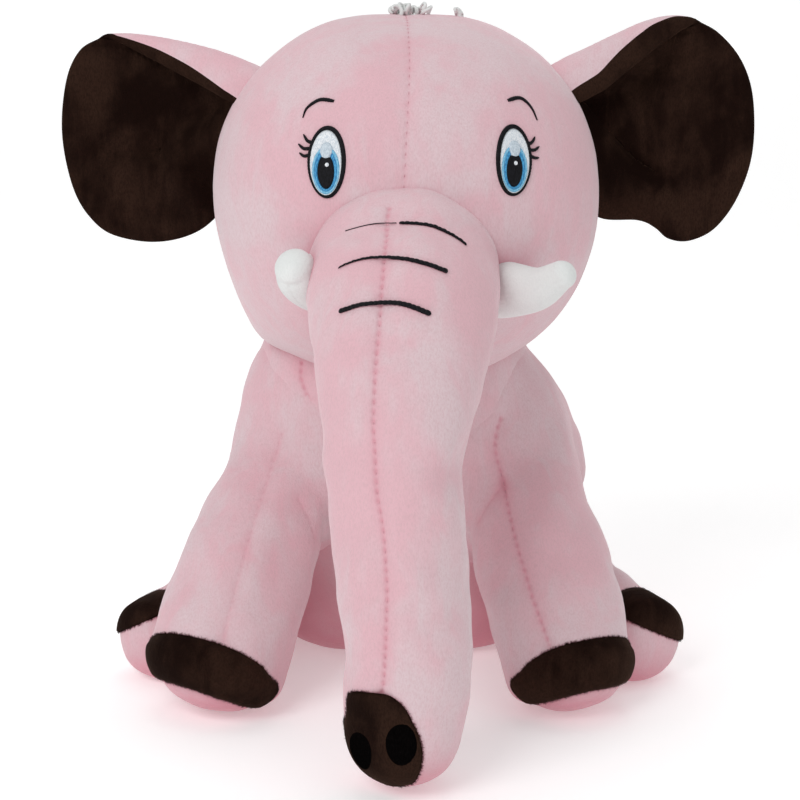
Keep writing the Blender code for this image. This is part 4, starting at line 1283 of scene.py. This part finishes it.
def make_tuft(field, m):
    """White curls of yarn on the crown, in three clusters just behind the top."""
    rng = np.random.default_rng(5)
    shapes = []
    for number in range(TUFT_LOCKS):
        middle = 0.0290 if number % 9 == 0 else 0.0078 if number % 3 == 0 else -0.0028
        place = np.array([rng.normal(middle, 0.0020), rng.normal(0.013, 0.005), 0.345])
        root = laid(field, place[None], -0.001)[0]
        t = np.linspace(0, 1, 16)
        turn = rng.uniform(0, math.tau) + t * rng.uniform(3.5, 6.0)
        curl = rng.uniform(0.0013, 0.0024)
        lean = unit(np.array([rng.normal(0, 0.5), rng.normal(-0.1, 0.5), 1.0]))
        side = unit(np.cross(lean, [0.3, 1.0, 0.2]))
        over = np.cross(lean, side)
        circle = np.cos(turn)[:, None] * side + np.sin(turn)[:, None] * over
        line = root + lean * (0.0045 * np.sin(t * 2.2))[:, None] + curl * (circle - circle[0])
        shapes.append(tube(line, 0.0010 * (1 - 0.5 * t**3), 8))
    tuft = mesh_object("hair_tuft_locks", *joined(shapes), [m["white"]])
    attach(tuft, "head")
    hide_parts("hair_tuft")


def make_tail(m):
    path = ((0, 0.1400, 0.0800), (0, 0.1570, 0.0660), (0, 0.1639, 0.0440))
    radii = (0.0080, 0.0068, 0.0055)
    limb = Limb(path, radii, radii, (0.008, 0.004), ACROSS)
    field = lumpy(limb.field, 0.0003, 91)
    low, high = limb.line.min(0) - 0.010, limb.line.max(0) + 0.010
    seam = Seam(laid(field, limb.at(np.linspace(0.05, 0.95, 30), 0.0)), 0.0004, 0.0003, 0.003)
    tail = sewn_skin("tail_plush", field, (low, high), TAIL_NET, [seam], m["pink"])
    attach(tail, "tail")
    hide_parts("tail")


# Studio


def make_studio():
    scene = bpy.context.scene
    scene.view_settings.view_transform = "Standard"
    world = bpy.data.worlds.new("studio")
    scene.world = world
    world.use_nodes = True
    background = world.node_tree.nodes["Background"]
    background.inputs["Color"].default_value = (1.0, 1.0, 1.0, 1.0)
    background.inputs["Strength"].default_value = 0.50

    size, back, bend, rise = 3.0, 1.2, 0.5, 2.2
    curve = [(back + bend * math.sin(a), bend * (1 - math.cos(a))) for a in np.linspace(0, math.pi / 2, 12)]
    profile = [(-size, 0.0), *curve, (back + bend, rise)]
    points = [(x, y, z - 0.0004) for y, z in profile for x in (-size, size)]
    faces = [(2 * k, 2 * k + 1, 2 * k + 3, 2 * k + 2) for k in range(len(profile) - 1)]
    nodes = Nodes("pale_paper")
    grain = nodes.noise(220.0, 3.0)
    nodes.link(nodes.mixed(grain, (0.93, 0.93, 0.93), (0.96, 0.96, 0.96)), nodes.shader.inputs["Base Color"])
    nodes.set(Roughness=0.9, Specular_IOR_Level=0.1)
    nodes.set(Emission_Color=(1.0, 1.0, 1.0, 1.0), Emission_Strength=0.26)
    mesh_object("backdrop", points, faces, [nodes.material])

    def area(name, place, target, width, power):
        light = bpy.data.lights.new(name, "AREA")
        light.energy, light.size = power, width
        made = bpy.data.objects.new(name, light)
        made.location = place
        made.rotation_mode = "QUATERNION"
        made.rotation_quaternion = (Vector(target) - Vector(place)).to_track_quat("-Z", "Y")
        scene.collection.objects.link(made)

    area("key", (-0.8, -1.3, 1.3), (0, 0, 0.17), 0.9, 11.5)
    area("fill", (1.2, -1.1, 0.8), (0, 0, 0.15), 1.2, 1.2)
    area("top", (0.0, 0.2, 1.7), (0, 0, 0.2), 1.0, 4.5)


CAMERA_PLACE = (-0.0028, -0.9670, 0.3600)
CAMERA_PITCH = 12.35
CAMERA_SENSOR = 36.0
CAMERA_LENS = 87.75


def make_camera():
    data = bpy.data.cameras.new("camera")
    data.sensor_width, data.lens = CAMERA_SENSOR, CAMERA_LENS
    data.clip_start, data.clip_end = 0.05, 20.0
    camera = bpy.data.objects.new("camera", data)
    camera.location = CAMERA_PLACE
    camera.rotation_euler = (math.radians(90 - CAMERA_PITCH), 0, 0)
    bpy.context.scene.collection.objects.link(camera)
    bpy.context.scene.camera = camera


def main():
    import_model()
    make_camera()
    make_studio()
    m = make_materials()
    head_field = make_head(m)
    for side, sign in SIDES.items():
        make_eye(side, sign, head_field, m)
    make_trunk(m)
    make_tusks(m)
    torso = make_torso(m)
    for side, sign in SIDES.items():
        make_front_leg(side, sign, torso, m)
        make_hind_leg(side, sign, torso, m)
        make_ear(side, sign, m)
    make_tuft(head_field, m)
    make_tail(m)


main()
